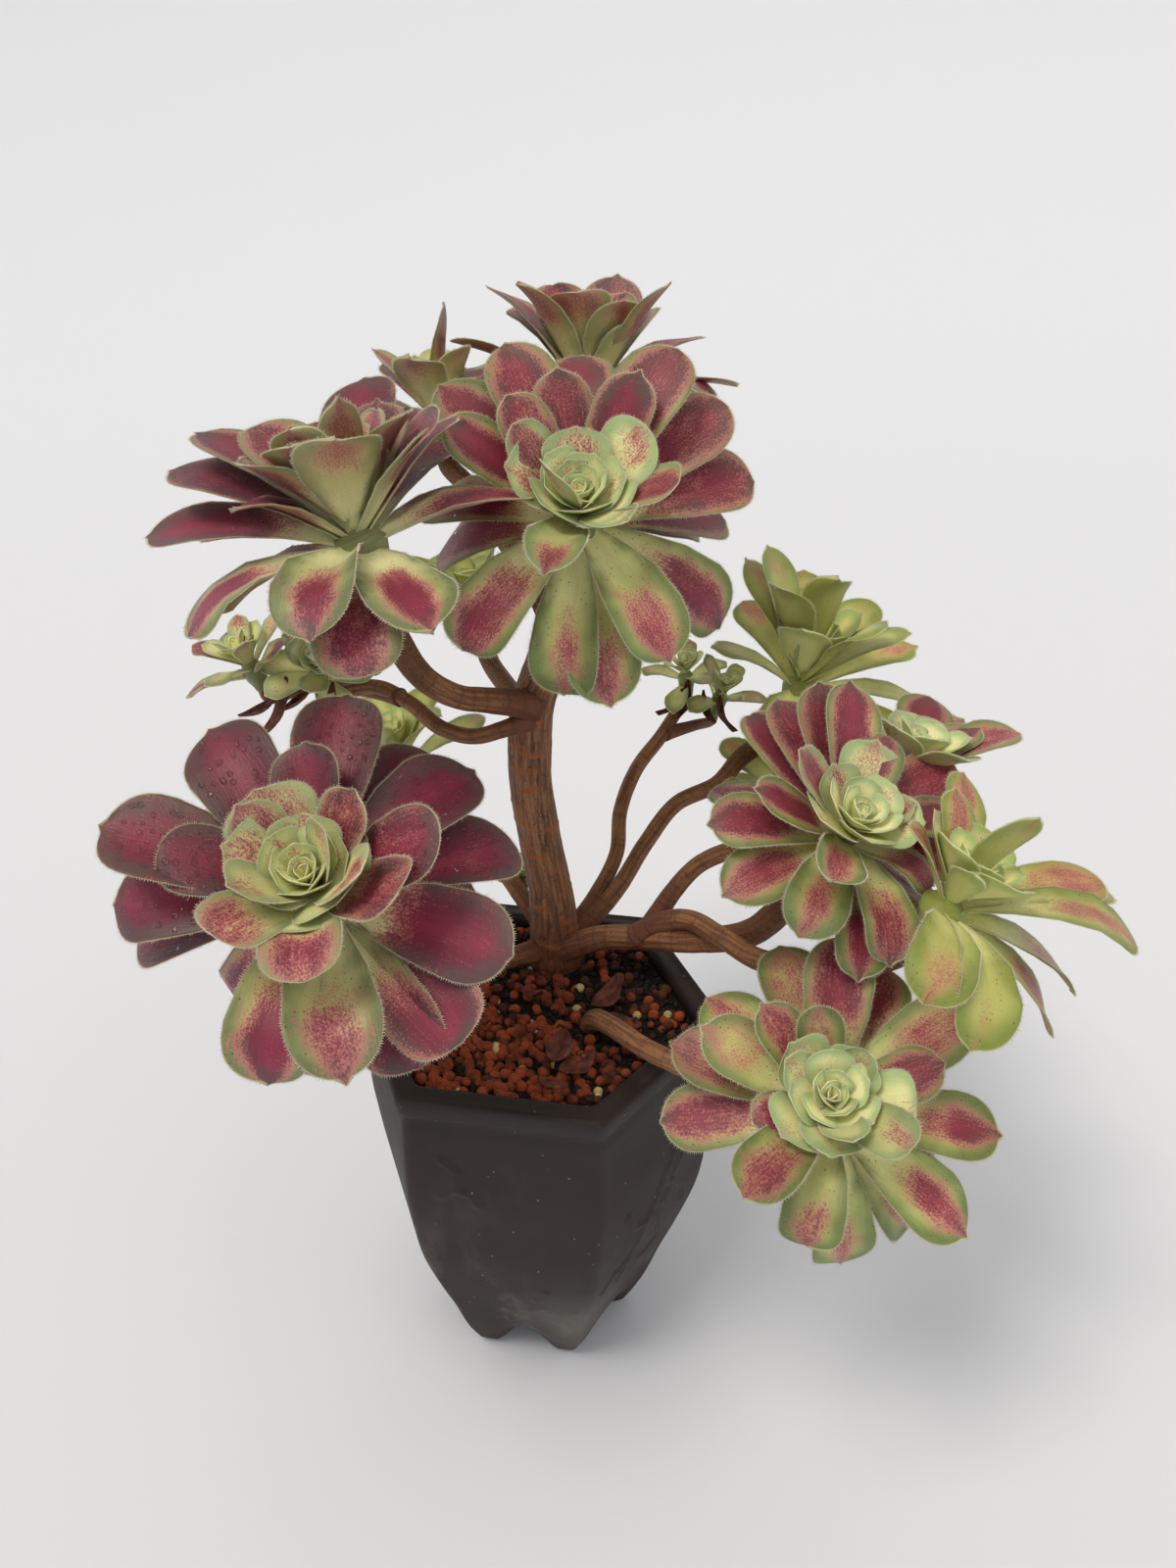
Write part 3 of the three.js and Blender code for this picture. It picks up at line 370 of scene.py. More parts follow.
# Each head: form is its growing tip and axis in mm about the pot's axis, its widest leaf and its stem;
# blush is its strength, its spread and its start at the back and at the front, each as a range; then
# its leaves as turn, lift, length, and its heart or spiral as count, length, turn, lift.
heads = {
    "headFrontLeft": {
        "form": ((-71, -71, 280), (-0.02, -0.55, 0.82), 34, 5.5), "skin": "burgundyLeafSkin",
        "blush": ((0.95, 1.1), (0.75, 1.0), (0.12, 0.42)), "drops": 900, "heart": (22, 40, 120, 38),
        "outer": [
            (125, 30, 76), (85, 25, 76), (60, 10, 74), (45, 10, 74), (20, 10, 75), (165, 30, 77),
            (180, 15, 74), (185, 0, 74), (220, -25, 70), (262, 26, 70), (276, 6, 66), (285, 25, 73),
            (303, 12, 71), (315, 15, 74), (340, 20, 73), (20, -25, 73),
        ],
        "middle": [(95, 30, 53), (170, 30, 55)],
        "inner": [(140, 50, 41), (50, 50, 43), (5, 40, 60), (235, 50, 52), (280, 45, 56), (335, 45, 56)],
        "crown": [(220, 55, 43), (335, 40, 46), (25, 65, 38)],
    },
    "headCrown": {
        "form": ((19, 33, 382), (0, -0.64, 0.76), 30, 8), "skin": "stripedLeafSkin",
        "blush": ((0.8, 1.05), (0.2, 0.6), (0.1, 0.4)), "drops": 60, "heart": (22, 38, 40, 38),
        "outer": [
            (50, 15, 71), (15, 20, 72), (20, -10, 71), (30, -30, 68), (330, 5, 73), (300, 20, 70),
            (280, 0, 72), (265, 5, 71), (230, 15, 70), (160, 0, 71), (170, -8, 71), (140, 35, 74),
            (115, 40, 74), (90, 35, 73), (78, 25, 72), (55, 45, 76), (35, 30, 73),
        ],
        "middle": [(100, 30, 56), (60, 30, 58), (155, 30, 62), (130, 30, 53)],
        "inner": [(145, 50, 44), (80, 45, 32), (345, 45, 51), (255, 40, 54)],
        "crown": [(305, 40, 43), (220, 65, 40)],
    },
    "headLowerRight": {
        "form": ((110, -84, 195), (-0.03, -0.53, 0.84), 27, 4.2), "skin": "stripedLeafSkin",
        "blush": ((0.35, 1.0), (0.1, 0.5), (0.25, 0.45)), "drops": 6, "heart": (20, 34, 210, 32),
        "outer": [
            (100, 25, 65), (80, 30, 65), (60, 25, 64), (30, 30, 65), (350, 15, 63), (345, -20, 60),
            (315, 15, 64), (312, -14, 60), (303, -34, 56), (275, -10, 61), (255, 30, 54), (225, 45, 58),
            (180, 0, 61), (155, -5, 61), (130, 15, 63),
        ],
        "middle": [(15, 30, 46), (150, 30, 55), (125, 30, 46), (95, 30, 40), (195, 35, 36)],
        "inner": [(315, 50, 44), (45, 50, 30), (150, 55, 34)],
        "crown": [(275, 50, 36)],
    },
    "headRight": {
        "form": ((124, -10, 268), (0.24, -0.42, 0.87), 26, 6), "skin": "stripedLeafSkin",
        "blush": ((0.8, 1.05), (0.2, 0.6), (0.1, 0.35)), "drops": 60, "heart": (20, 34, 75, 32),
        "outer": [
            (132, 22, 64), (122, 33, 64), (111, 26, 64), (99, 37, 64), (52, 22, 63), (42, 32, 63),
            (355, 25, 63), (145, -10, 61), (195, 30, 61), (220, 20, 62), (250, 30, 60), (278, 18, 61),
            (289, 28, 60), (335, -15, 61), (0, -10, 62),
        ],
        "middle": [(75, 30, 46), (15, 30, 48), (330, 30, 42), (250, 42, 50), (188, 36, 50), (142, 32, 38)],
        "inner": [(15, 48, 30), (165, 45, 45)],
    },
    "headUpperLeft": {
        "form": ((-60, 1, 385), (-0.19, 0, 0.98), 31, 5.5), "skin": "burgundyLeafSkin",
        "blush": ((0.85, 1.1), (0.35, 0.8), (0.16, 0.34)), "drops": 60,
        "heart": (24, 58, 10, 42), "heartYoung": 0.1,
        "outer": [
            (180, 30, 76), (165, 45, 76), (150, 20, 75), (152, 47, 76), (120, 45, 76), (85, 55, 77),
            (65, 30, 75), (155, 0, 75), (265, 15, 72), (275, 2, 74), (295, 5, 75), (60, 0, 75),
            (20, 12, 66), (205, 12, 70),
        ],
        "middle": [(90, 35, 71), (125, 30, 66), (70, 34, 66), (40, 36, 58), (200, 42, 46)],
        "inner": [(250, 65, 48), (325, 78, 48), (352, 45, 46), (165, 60, 40)],
    },
    "headFarRight": {
        "form": ((159, -40, 257), (0.45, 0, 0.89), 27, 5.5), "skin": "limeLeafSkin",
        "blush": ((0.45, 0.95), (0.1, 0.5), (0.3, 0.5)), "heart": (17, 34, 150, 38),
        "outer": [
            (15, 40, 73), (345, 40, 74), (5, 10, 72), (355, 3, 72), (270, 15, 72), (250, 15, 70),
            (30, -10, 70), (62, 18, 60), (95, 25, 58),
        ],
        "middle": [(10, 30, 64), (45, 22, 52), (180, 48, 40), (110, 45, 46)],
        "inner": [(290, 80, 48), (240, 45, 32)],
    },
    "headRightBack": {
        "form": ((158, 34, 272), (0.25, 0.05, 0.97), 28, 4.5), "skin": "stripedLeafSkin",
        "blush": ((0.7, 1.0), (0.0, 0.3), (0.2, 0.4)), "heart": (16, 34, 300, 38),
        "outer": [(2, 58, 54), (62, 24, 50), (100, 20, 48), (140, 25, 46)],
        "middle": [(50, 36, 52), (72, 42, 50), (20, 46, 40), (160, 50, 34)],
    },
    "headTopBack": {
        "form": ((23, 131, 411), (0.02, 0.06, 1), 29, 5.5), "skin": "burgundyLeafSkin", "slot": "mixed_leaf",
        "blush": ((0.8, 1.05), (0.3, 0.7), (0.3, 0.4)), "heart": (22, 58, 70, 50), "heartYoung": 0.05,
        "outer": [
            (75, 66, 68), (97, 50, 66), (115, 50, 66), (135, 53, 64), (160, 58, 70), (60, 50, 66),
            (25, 45, 64), (0, 27, 68), (180, 40, 66), (205, 30, 64), (235, 22, 60), (262, 16, 58),
            (290, 18, 58), (318, 22, 60), (342, 32, 62),
        ],
        "inner": [(90, 55, 46), (150, 55, 44), (30, 55, 44), (210, 58, 38), (320, 58, 38)],
    },
    "headTopLeft": {
        "form": ((-42, 123, 403), (-0.1, 0.05, 1), 25, 4.5), "skin": "burgundyLeafSkin",
        "blush": ((0.9, 1.1), (0.4, 0.9), (0.25, 0.4)), "spiral": (16, 54, 20, 30),
    },
    "headSlopeBack": {
        "form": ((124, 106, 285), (0.1, -0.1, 1), 26, 5), "skin": "limeLeafSkin",
        "blush": ((0.1, 0.6), (0.0, 0.3), (0.5, 0.7)), "heart": (16, 44, 100, 52),
        "outer": [
            (150, 70, 68), (90, 60, 62), (50, 45, 64), (15, 37, 60), (355, 20, 58), (320, 14, 56),
            (185, 42, 50), (120, 38, 58), (70, 28, 58), (245, 12, 50), (285, 4, 52),
        ],
        "inner": [(278, 80, 62), (215, 72, 62), (318, 58, 56), (342, 46, 56), (140, 64, 66)],
    },
    "headMiddleBack": {
        "form": ((-29, 104, 323), (-0.15, -0.1, 1), 24, 4.5), "skin": "limeLeafSkin",
        "blush": ((0.2, 0.8), (0.1, 0.4), (0.4, 0.6)), "spiral": (14, 50, 60, 25),
    },
    "headLowLeft": {
        "form": ((-68, 94, 252), (-0.25, -0.1, 1), 22, 4), "skin": "limeLeafSkin",
        "blush": ((0.0, 0.4), (0.0, 0.3), (0.5, 0.7)), "spiral": (11, 46, 10, 28),
    },
    "headBehindRight": {
        "form": ((116, 87, 237), (0.1, -0.15, 1), 22, 4), "skin": "limeLeafSkin",
        "blush": ((0.2, 0.7), (0.0, 0.3), (0.4, 0.6)), "spiral": (12, 46, 170, 20),
    },
    "youngLeft": {
        "form": ((-89, 46, 314), (0.1, -0.5, 0.85), 15, 3.2), "skin": "stripedLeafSkin", "young": 0.45,
        "blush": ((0.0, 0.9), (0.0, 0.5), (0.3, 0.4)), "spiral": (15, 27, 30, 12), "heart": (14, 19, 40, 34),
    },
    "youngFarLeft": {
        "form": ((-121, 51, 316), (-0.35, -0.15, 0.92), 14, 3), "skin": "burgundyLeafSkin", "young": 0.2,
        "blush": ((0.3, 1.0), (0.2, 0.8), (0.3, 0.4)), "spiral": (12, 30, 200, 30), "heart": (12, 19, 40, 38),
    },
    "youngBackA": {
        "form": ((71, 136, 277), (-0.1, -0.2, 1), 12, 2.8), "skin": "stripedLeafSkin", "young": 0.2,
        "blush": ((0.1, 0.8), (0.0, 0.4), (0.3, 0.5)), "spiral": (9, 24, 250, 15),
    },
    "youngBackB": {
        "form": ((90, 131, 268), (0.25, -0.2, 1), 12, 2.6), "skin": "stripedLeafSkin", "young": 0.2,
        "blush": ((0.1, 0.8), (0.0, 0.4), (0.3, 0.5)), "spiral": (9, 25, 90, 15),
    },
    "sprout": {
        "form": ((-8, 67, 200), (0, -0.35, 0.94), 8, 1.8), "skin": "limeLeafSkin", "young": 0.4,
        "blush": ((0.0, 0.1), (0.0, 0.2), (0.5, 0.6)), "spiral": (8, 13, 45, 20), "coreLength": 7,
    },
}


# spells out a head's form: tip, axes (along the growth, across, back), width, stem, core and size
def spellOut(head):
    tip, axis, head["width"], head["stem"] = head["form"]
    axis = Vector(axis).normalized()
    across = Vector((0, 1, 0)).cross(axis).normalized()
    head["tip"], head["axes"] = Vector(tip), (axis, across, axis.cross(across))
    head["core"] = head.get("coreLength", headRules["coreLength"])
    head["big"] = head["width"] > headRules["bigFrom"]


# the grown leaves of a head, oldest first, with the same numbers as the solids
def listLeaves(head):
    leaves = []
    for ring, (bend, depth, younger) in ringRules.items():
        for turn, lift, length in head.get(ring, []):
            young = younger + max(0.12, min(0.7, 1.32 - length / 50))
            leaves.append((turn, lift, length, bend, depth, max(0, min(0.85, young))))
    if "spiral" in head:
        count, length, turn, lift = head["spiral"]
        deep = 4 if "coreLength" in head else 10
        for i in range(count):
            share = i / (count - 1)
            leaves.append((
                turn + headRules["goldenAngle"] * i, lift + (80 - lift) * share**1.6,
                length * (1 - 0.78 * share**2.1), -24 + 40 * share, deep * (1 - share) ** 1.2 + 0.6,
                max(head.get("young", 0), smooth(0.35, 0.85, share))))
    names = ("turn", "lift", "length", "bend", "rootDepth", "young")
    longest = max(leaf[2] for leaf in leaves)
    return [dict(zip(names, leaf), half=head["width"] / 2 * (leaf[2] / longest) ** 0.75) for leaf in leaves]


# the heart: short cupped leaves, each a golden angle on, closing over the growing tip
def listHeart(head):
    big = head["big"]
    count, length, turn, lift = head.get("heart", (11, 24 if big else 12, 40, 48))
    young = head.get("heartYoung", 0.7)
    leaves = []
    for i in range(count):
        share = i / (count - 1)
        reach = length * (1 - 0.82 * share**0.8)
        leaves.append({
            "turn": turn + headRules["goldenAngle"] * i, "lift": lift + (76 - lift) * share**1.1,
            "length": reach, "bend": 8, "rootDepth": 1.5 - 9 * share if big else 2 - 3 * share,
            "half": min(reach * (0.44 - 0.04 * share), head["width"] / 2),
            "young": young + (1 - young) * smooth(0, 0.4 if young > 0.5 else 1, share) if big else 0.8,
        })
    return leaves


# the rib of a leaf: a point and a direction at each share of its length
def ribOf(head, leaf, swing=0, lean=0, reach=1):
    axis, across, back = head["axes"]
    turn = math.radians(leaf["turn"] + swing)
    outwards, sideways = towards(turn, across, back), towards(turn, back, -across)
    root = head["tip"] - axis * leaf["rootDepth"]
    length = leaf["length"] * reach
    curl = leaf.get("curl", 0)

    def direction(t):
        angle = leaf["lift"] + lean + leaf["bend"] * t - curl * smooth(bladeForm["curlFrom"], 1, t)
        return towards(math.radians(angle), outwards, axis)

    def rib(t):
        steps = bladeForm["ribSteps"]
        place = root.copy()
        for i in range(steps):
            place += direction(t * (i + 0.5) / steps) * (length * t / steps)
        return place

    return rib, direction, sideways, length


# which bend the solid leaf took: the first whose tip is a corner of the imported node
def settleLeaf(head, leaf, corners):
    for reach in reachShares:
        for swing, lean in bends:
            rib = ribOf(head, leaf, swing, lean, reach)[0]
            if corners.find((rib(1) + potCentre) * mm)[2] < 0.08 * mm:
                return swing, lean, reach
    return None


# the half width of a blade at a share of its length, 1 at its widest
def bladeShare(leaf, t):
    widest = bladeForm["widest"]
    if t > widest:
        return math.sqrt(max(0, 1 - ((t - widest) / (1 - widest)) ** leaf["tipPower"]))
    return leaf["rootShare"] + (1 - leaf["rootShare"]) * smooth(0, widest, t)


# shares of the length at which a blade has a section: few near the root, more round the tip's curve
def bladeStations(leaf, tipSteps):
    widest = bladeForm["widest"]
    turns = [math.pi / 2 * i / tipSteps for i in range(tipSteps + 1)]
    tip = [widest + (1 - widest) * math.sin(turn) ** (2 / leaf["tipPower"]) for turn in turns]
    return [*bladeForm["rootStations"], *tip]


# a function that gives the blade's surface at a share along, a share across and a side (1 top, -1 back)
def bladeSurface(leaf, ribParts):
    rib, direction, sideways, _ = ribParts

    @cache
    def station(t):
        along = direction(t)
        aside = Matrix.Rotation(math.radians(leaf["twist"] * t), 3, along) @ sideways
        return rib(t), aside, along.cross(aside), along

    def surface(t, v, side):
        middle, aside, above, along = station(t)
        share = bladeShare(leaf, t) * min(1, t * 1000)  # the root closes to a point
        half = leaf["half"] * share
        hand = math.copysign(1, v)
        fold = max(0, leaf["fold"] * (1 + leaf["skew"] * hand)) * (1 - 0.4 * t)
        wave = leaf["wave"] * math.sin(leaf["phase"] + 9 * t * hand + 2 * v) * v * v
        droop = leaf["droop"] * v * v * share * smooth(0.6, 1, t)
        body = bladeForm["thickness"] * leaf["thick"] * (1.05 - 0.5 * t) * side * (0.3 if side > 0 else 0.7)
        rise = fold * half * abs(v) ** 1.6 + wave * smooth(0.25, 0.6, t) - droop + body * math.sqrt(share)
        point = leaf["point"] * math.exp(-((half * v / 1.3) ** 2)) * smooth(0.93, 1, t)
        narrow = math.sqrt(max(0.1, 1 - fold * fold * 0.8))
        return middle + aside * (half * v * narrow) + above * rise + along * point

    return surface


def growBlade(bm, layers, leaf, ribParts, fine, hairs, rng):
    surface = bladeSurface(leaf, ribParts)
    place, look, edge = layers
    stations = bladeStations(leaf, bladeForm["tipSteps"][fine])
    last = len(stations) - 1
    rimShare = min(0.12, headRules["rimWidth"] / leaf["half"])

    def put(vert, u, w):
        t = stations[round(u * last)]
        v, side = math.cos(math.tau * w), math.sin(math.tau * w)
        vert.co = surface(t, v, side)
        vert[place] = (t * ribParts[3], v * leaf["half"] * bladeShare(leaf, t), leaf["dice"] * 300)
        vert[look] = (leaf["young"], leaf["spread"], leaf["blush"], leaf["dice"])
        vert[edge] = (rimShare, 1 if side < -0.1 else 0, leaf["start"], leaf["tipPower"] / 10)

    faces = bentGrid(bm, last, bladeForm["around"][fine], put)
    uv = bm.loops.layers.uv.active
    for face in faces:
        for loop in face.loops:
            u, w = loop[uv].uv
            loop[uv].uv = (stations[round(u * last)], 0.5 + 0.5 * math.cos(math.tau * w))
    if hairs:
        growHairs(bm, leaf, surface, rng)
    return surface


# tapering three-sided hairs along the rim, a little forward of square to it
def growHairs(bm, leaf, surface, rng):
    stations = [t for t in bladeStations(leaf, 14) if t > 0.15]
    outline = [surface(t, 1, 0) for t in stations] + [surface(t, -1, 0) for t in reversed(stations[:-1])]
    middle = surface(0.6, 0, 0)
    above = (surface(0.6, 0, 1) - surface(0.6, 0, -1)).normalized()
    radius = headRules["hairRadius"]
    faces = []
    left = 0.5
    for start, end in zip(outline, outline[1:]):
        run = (end - start).length
        if run < 1e-4:
            continue
        ahead = (end - start) / run
        outwards = ahead.cross(above).normalized()
        if outwards.dot(start - middle) < 0:
            outwards = -outwards
        while left < run:
            foot = start.lerp(end, left / run) - outwards * headRules["hairSunk"]
            reach = headRules["hairLength"] * between(rng, 0.6, 1.15) * min(1, 0.5 + leaf["length"] / 80)
            lean = outwards + above * between(rng, -0.25, 0.35) + ahead * between(rng, -0.3, 0.3)
            asides = (ahead * radius, ahead * -radius, above * (radius * 1.5))
            a, b, c = [bm.verts.new(foot + aside) for aside in asides]
            tip = bm.verts.new(foot + lean.normalized() * reach)
            faces += [bm.faces.new(corners) for corners in ((a, b, c), (a, b, tip), (b, c, tip), (c, a, tip))]
            left += headRules["hairStep"] * between(rng, 0.75, 1.25)
        left -= run
    for face in faces:
        face.material_index = 1
    bmesh.ops.recalc_face_normals(bm, faces=faces)


# what differs from leaf to leaf: blush, fold, waves, curl and the shape of the tip; leaves that hang to
# the front are greener, more folded and often curled down
def dressLeaf(head, leaf, rng):
    young, grown = leaf["young"], 1 - leaf["young"]
    front = max(0, -math.sin(math.radians(leaf["turn"])))
    blush, spread, (low, high) = head["blush"]
    leaf["dice"] = rng.random()
    leaf["spread"] = between(rng, *spread) * (0.15 + 0.85 * grown)
    leaf["blush"] = between(rng, *blush) * (1 - 0.75 * young) * (1 - front * between(rng, 0, 0.4))
    leaf["spread"] *= 1 - front * between(rng, 0.2, 1)
    leaf["start"] = max(0.02, low + (high - low) * front + between(rng, -0.06, 0.08) + 0.3 * young)
    leaf["fold"] = between(rng, 0.12, 0.4 + 0.2 * front) if young < 0.5 else between(rng, 0.25, 0.45)
    for name, least, most in (
        ("skew", -0.5, 0.5), ("wave", 0, (1.0 + 1.4 * front) * grown), ("phase", 0, 6),
        ("twist", -10 * grown, 10 * grown), ("droop", 0, 3 * grown),
    ):
        leaf[name] = between(rng, least, most)
    curled = front > 0.25 and rng.random() < 0.65
    leaf["curl"] = (between(rng, 20, 52) if curled else between(rng, -6, 16)) * grown
    squared = rng.random() < 0.3
    leaf["tipPower"] = between(rng, 3.2, 5) if squared and front > 0.25 else between(rng, 2.1, 2.9)
    leaf["rootShare"] = 0.28 + 0.27 * young
    slim = min(1, leaf["length"] / 40)
    leaf["point"] = between(rng, -0.6, 0.5) if squared else between(rng, 0.8, 2.2) * slim
    leaf["thick"] = 0.6 + 0.4 * leaf["length"] / 76


# one head in place of its node; gives its grown leaves with their surfaces
def growHead(name, head, number, skins, hairSkin):
    rng = random.Random(100 + number)
    bm = bmesh.new()
    bm.loops.layers.uv.new("bladeMap")
    layers = (
        bm.verts.layers.float_vector.new("bladePlace"),
        bm.verts.layers.float_color.new("bladeLook"),
        bm.verts.layers.float_color.new("bladeEdge"),
    )
    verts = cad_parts[name].data.vertices
    corners = kdtree.KDTree(len(verts))
    for i, vert in enumerate(verts):
        corners.insert(vert.co, i)
    corners.balance()
    missing = []
    surfaces = []
    for index, leaf in enumerate(listLeaves(head)):
        settled = settleLeaf(head, leaf, corners)
        dressLeaf(head, leaf, rng)
        if settled is None:
            missing.append(index)
            continue
        ribParts = ribOf(head, leaf, *settled)
        surfaces.append((leaf, growBlade(bm, layers, leaf, ribParts, leaf["length"] > 26, head["big"], rng)))
    for leaf in listHeart(head):
        leaf["turn"] += between(rng, -7, 7)
        leaf["lift"] += between(rng, -5, 5) * (1 - leaf["young"] * 0.5)
        leaf["length"] *= between(rng, 0.88, 1.1)
        dressLeaf(head, leaf, rng)
        growBlade(bm, layers, leaf, ribOf(head, leaf), leaf["length"] > 16, head["big"], rng)
    growCore(bm, layers, head)
    print(name, len(surfaces), "leaves found again in the solid, not found:", missing)
    slot = head.get("slot", leafSkins[head["skin"]])
    makePiece(name + "Leaves", bm, [skins[head["skin"]], hairSkin], slot, [name])
    return surfaces


# the short green shoot that the leaves sit on
def growCore(bm, layers, head):
    axis, across, back = head["axes"]
    wide, stem = head["width"] * 0.34, head["stem"]
    base = head["tip"] - axis * head["core"]
    profile = [(0, 0), (0, stem + 0.4), (0.15, stem + 0.6), (0.35, wide * 0.95), (0.65, wide),
               (0.85, wide * 0.6), (0.96, wide * 0.25), (0.98, 0)]
    last = len(profile) - 1

    def put(vert, u, w):
        share, radius = profile[round(u * last)]
        angle = math.tau * w
        vert.co = base + axis * (head["core"] * share) + towards(angle, across, back) * radius
        vert[layers[0]] = (share * head["core"], radius * angle, 0)
        vert[layers[1]] = (0, 0, 0, 0.5)
        vert[layers[2]] = (0.01, 0.3, 0.9, 1)

    faces = bentGrid(bm, last, 14, put)
    uv = bm.loops.layers.uv.active
    for face in faces:
        for loop in face.loops:
            loop[uv].uv = (0.7, 0.9)


dropRules = {"radius": (0.65, 1.25), "apart": 2.7, "flat": 0.7, "raised": 0.25, "leafFrom": 34, "level": 0.3}


# round drops on grown leaves that face up, at the back of each head
def placeDrops(dropList, material):
    rng = random.Random(5)
    bm = bmesh.new()
    for head, surfaces in dropList:
        grown = [(leaf, surface) for leaf, surface in surfaces
                 if leaf["length"] > dropRules["leafFrom"] and math.sin(math.radians(leaf["turn"])) > -0.1]
        kept = []
        for _ in range(head.get("drops", 0)):
            leaf, surface = rng.choice(grown)
            t, v = between(rng, 0.4, 0.95), between(rng, -0.85, 0.85)
            radius = between(rng, *dropRules["radius"])
            top = math.sqrt(1 - v * v)
            place = surface(t, v, top)
            normal = (surface(t + 0.03, v, top) - place).cross(surface(t, v + 0.05, top) - place).normalized()
            if normal.z < 0:
                normal = -normal
            tooNear = any((place - other).length < dropRules["apart"] for other in kept)
            if normal.z < dropRules["level"] or tooNear:
                continue
            kept.append(place)
            turn = normal.to_track_quat("Z", "Y").to_matrix().to_4x4()
            centre = Matrix.Translation(place + normal * dropRules["raised"])
            shape = centre @ turn @ Matrix.Diagonal((1, 1, dropRules["flat"], 1))
            bmesh.ops.create_icosphere(bm, subdivisions=2, radius=radius, matrix=shape)
    makePiece("rainDrops", bm, [material])


# Each stem: the head it carries, its stations as x, y, z, radius in mm about the pot's axis, and the
# share of its length that has the net of young leaf scars
stemRules = {
    "step": 1.3, "trunkAround": 84, "netRun": 12,
    "flare": 0.3, "flareLength": 7,  # branches swell where they leave the wood
    "scarGap": 6.5, "scarFrom": 52, "scarTo": 24,
}
branches = [
    ("headCrown", [
        (9, 37, 134, 14), (8, 37, 168, 13.4), (7, 37, 190, 11), (5, 37, 214, 9.6), (1, 37, 240, 9.3),
        (-2, 37, 264, 9.2), (-2, 37, 284, 9.2), (0, 37, 301, 9), (5, 37, 317, 8.6), (11, 38, 334, 8.2),
    ], 0.12),
    ("headUpperLeft", [
        (0, 32, 302, 5.5), (-8, 24, 307, 5.4), (-18, 17, 311, 5), (-28, 11, 315, 4.8), (-40, 6, 325, 5),
        (-49, 3, 342, 5.4),
    ], 0.45),
    ("youngLeft", [
        (-1, 32, 296, 3.8), (-12, 22, 296, 3.4), (-24, 24, 292, 3.3), (-38, 30, 293, 3.3),
        (-52, 42, 299, 3.2), (-68, 52, 302, 3.2),
    ], 0.0),
    ("youngFarLeft", [(-56, 45, 300, 3.2), (-74, 60, 297, 3), (-98, 62, 298, 3)], 0.0),
    ("headTopBack", [(5, 37, 318, 6), (12, 60, 338, 5.4), (19, 98, 366, 5.2)], 0.4),
    ("headTopLeft", [(9, 50, 330, 4.6), (-8, 80, 350, 4.4), (-30, 112, 372, 4.4)], 0.4),
    ("headMiddleBack", [(-1, 40, 292, 4.8), (-10, 66, 292, 4.4), (-22, 94, 296, 4.4)], 0.3),
    ("headLowLeft", [(6, 37, 184, 5), (-6, 50, 194, 4.2), (-24, 74, 206, 4), (-48, 92, 220, 4)], 0.2),
    ("sprout", [(6, 42, 180, 2.6), (-3, 58, 183, 1.8), (-8, 68, 187, 1.8)], 0.0),
    ("youngBackA", [
        (12, 38, 182, 4.4), (26, 54, 195, 3.7), (36, 70, 209, 3.5), (38, 84, 224, 3.5), (46, 99, 239, 3.5),
        (58, 112, 250, 3.4), (66, 126, 256, 3),
    ], 0.0),
    ("youngBackB", [(60, 114, 251, 3.2), (76, 126, 250, 2.8)], 0.0),
    ("headSlopeBack", [
        (14, 37, 181, 5), (36, 54, 199, 4), (50, 67, 217, 3.8), (64, 78, 231, 3.8), (84, 86, 238, 3.9),
        (96, 94, 248, 4.4),
    ], 0.25),
    ("headBehindRight", [(80, 84, 236, 3.4), (98, 86, 222, 3.6)], 0.2),
    ("headRight", [
        (6, 34, 176, 6), (18, 27, 187, 5.8), (30, 24, 193, 5.6), (50, 16, 198, 5.4), (70, 6, 204, 5.4),
        (90, -3, 214, 5.8), (104, -5, 230, 6),
    ], 0.4),
    ("headFarRight", [
        (44, 18, 197, 5), (54, 16, 206, 4.8), (66, 8, 213, 4.4), (78, -6, 214, 4.4), (92, -22, 214, 4.6),
        (112, -34, 220, 5), (132, -42, 228, 5.4),
    ], 0.3),
    ("headRightBack", [
        (48, 18, 199, 4.4), (60, 26, 216, 4), (72, 30, 228, 3.9), (92, 30, 236, 4), (114, 20, 240, 4.2),
        (132, 10, 248, 4.4),
    ], 0.2),
    ("headFrontLeft", [
        (6, 35, 179, 5.6), (-9, 25, 182, 4.8), (-22, 12, 188, 4.6), (-40, -8, 204, 4.8), (-56, -28, 226, 5.2),
        (-66, -44, 246, 5.4),
    ], 0.3),
]
lowCane = ("headLowerRight", [
    (17, 2, 140, 4.6), (21, -6, 160, 4.5), (25, -14, 177, 4.4), (32, -30, 187, 4.2), (46, -48, 190, 4.1),
    (62, -60, 190, 4), (80, -66, 184, 4), (96, -67, 178, 4.1),
], 0.15)


# a point on the smooth line through the stations
def alongStations(points, share):
    last = len(points) - 1
    spot = share * last
    k = min(last - 1, int(spot))
    weight = spot - k
    p1, p2 = points[k], points[k + 1]
    p0 = points[k - 1] if k > 0 else p1 * 2 - p2
    p3 = points[k + 2] if k + 2 <= last else p2 * 2 - p1
    d0, d1, d2 = [max(1e-4, (b - a).length_squared ** 0.25) for a, b in ((p0, p1), (p1, p2), (p2, p3))]
    t1 = ((p1 - p0) / d0 - (p2 - p0) / (d0 + d1) + (p2 - p1) / d1) * d1
    t2 = ((p2 - p1) / d1 - (p3 - p1) / (d1 + d2) + (p3 - p2) / d2) * d1
    w2, w3 = weight * weight, weight**3
    return p1 + t1 * weight + (p2 * 3 - p1 * 3 - t1 * 2 - t2) * w2 + (p1 * 2 - p2 * 2 + t1 + t2) * w3


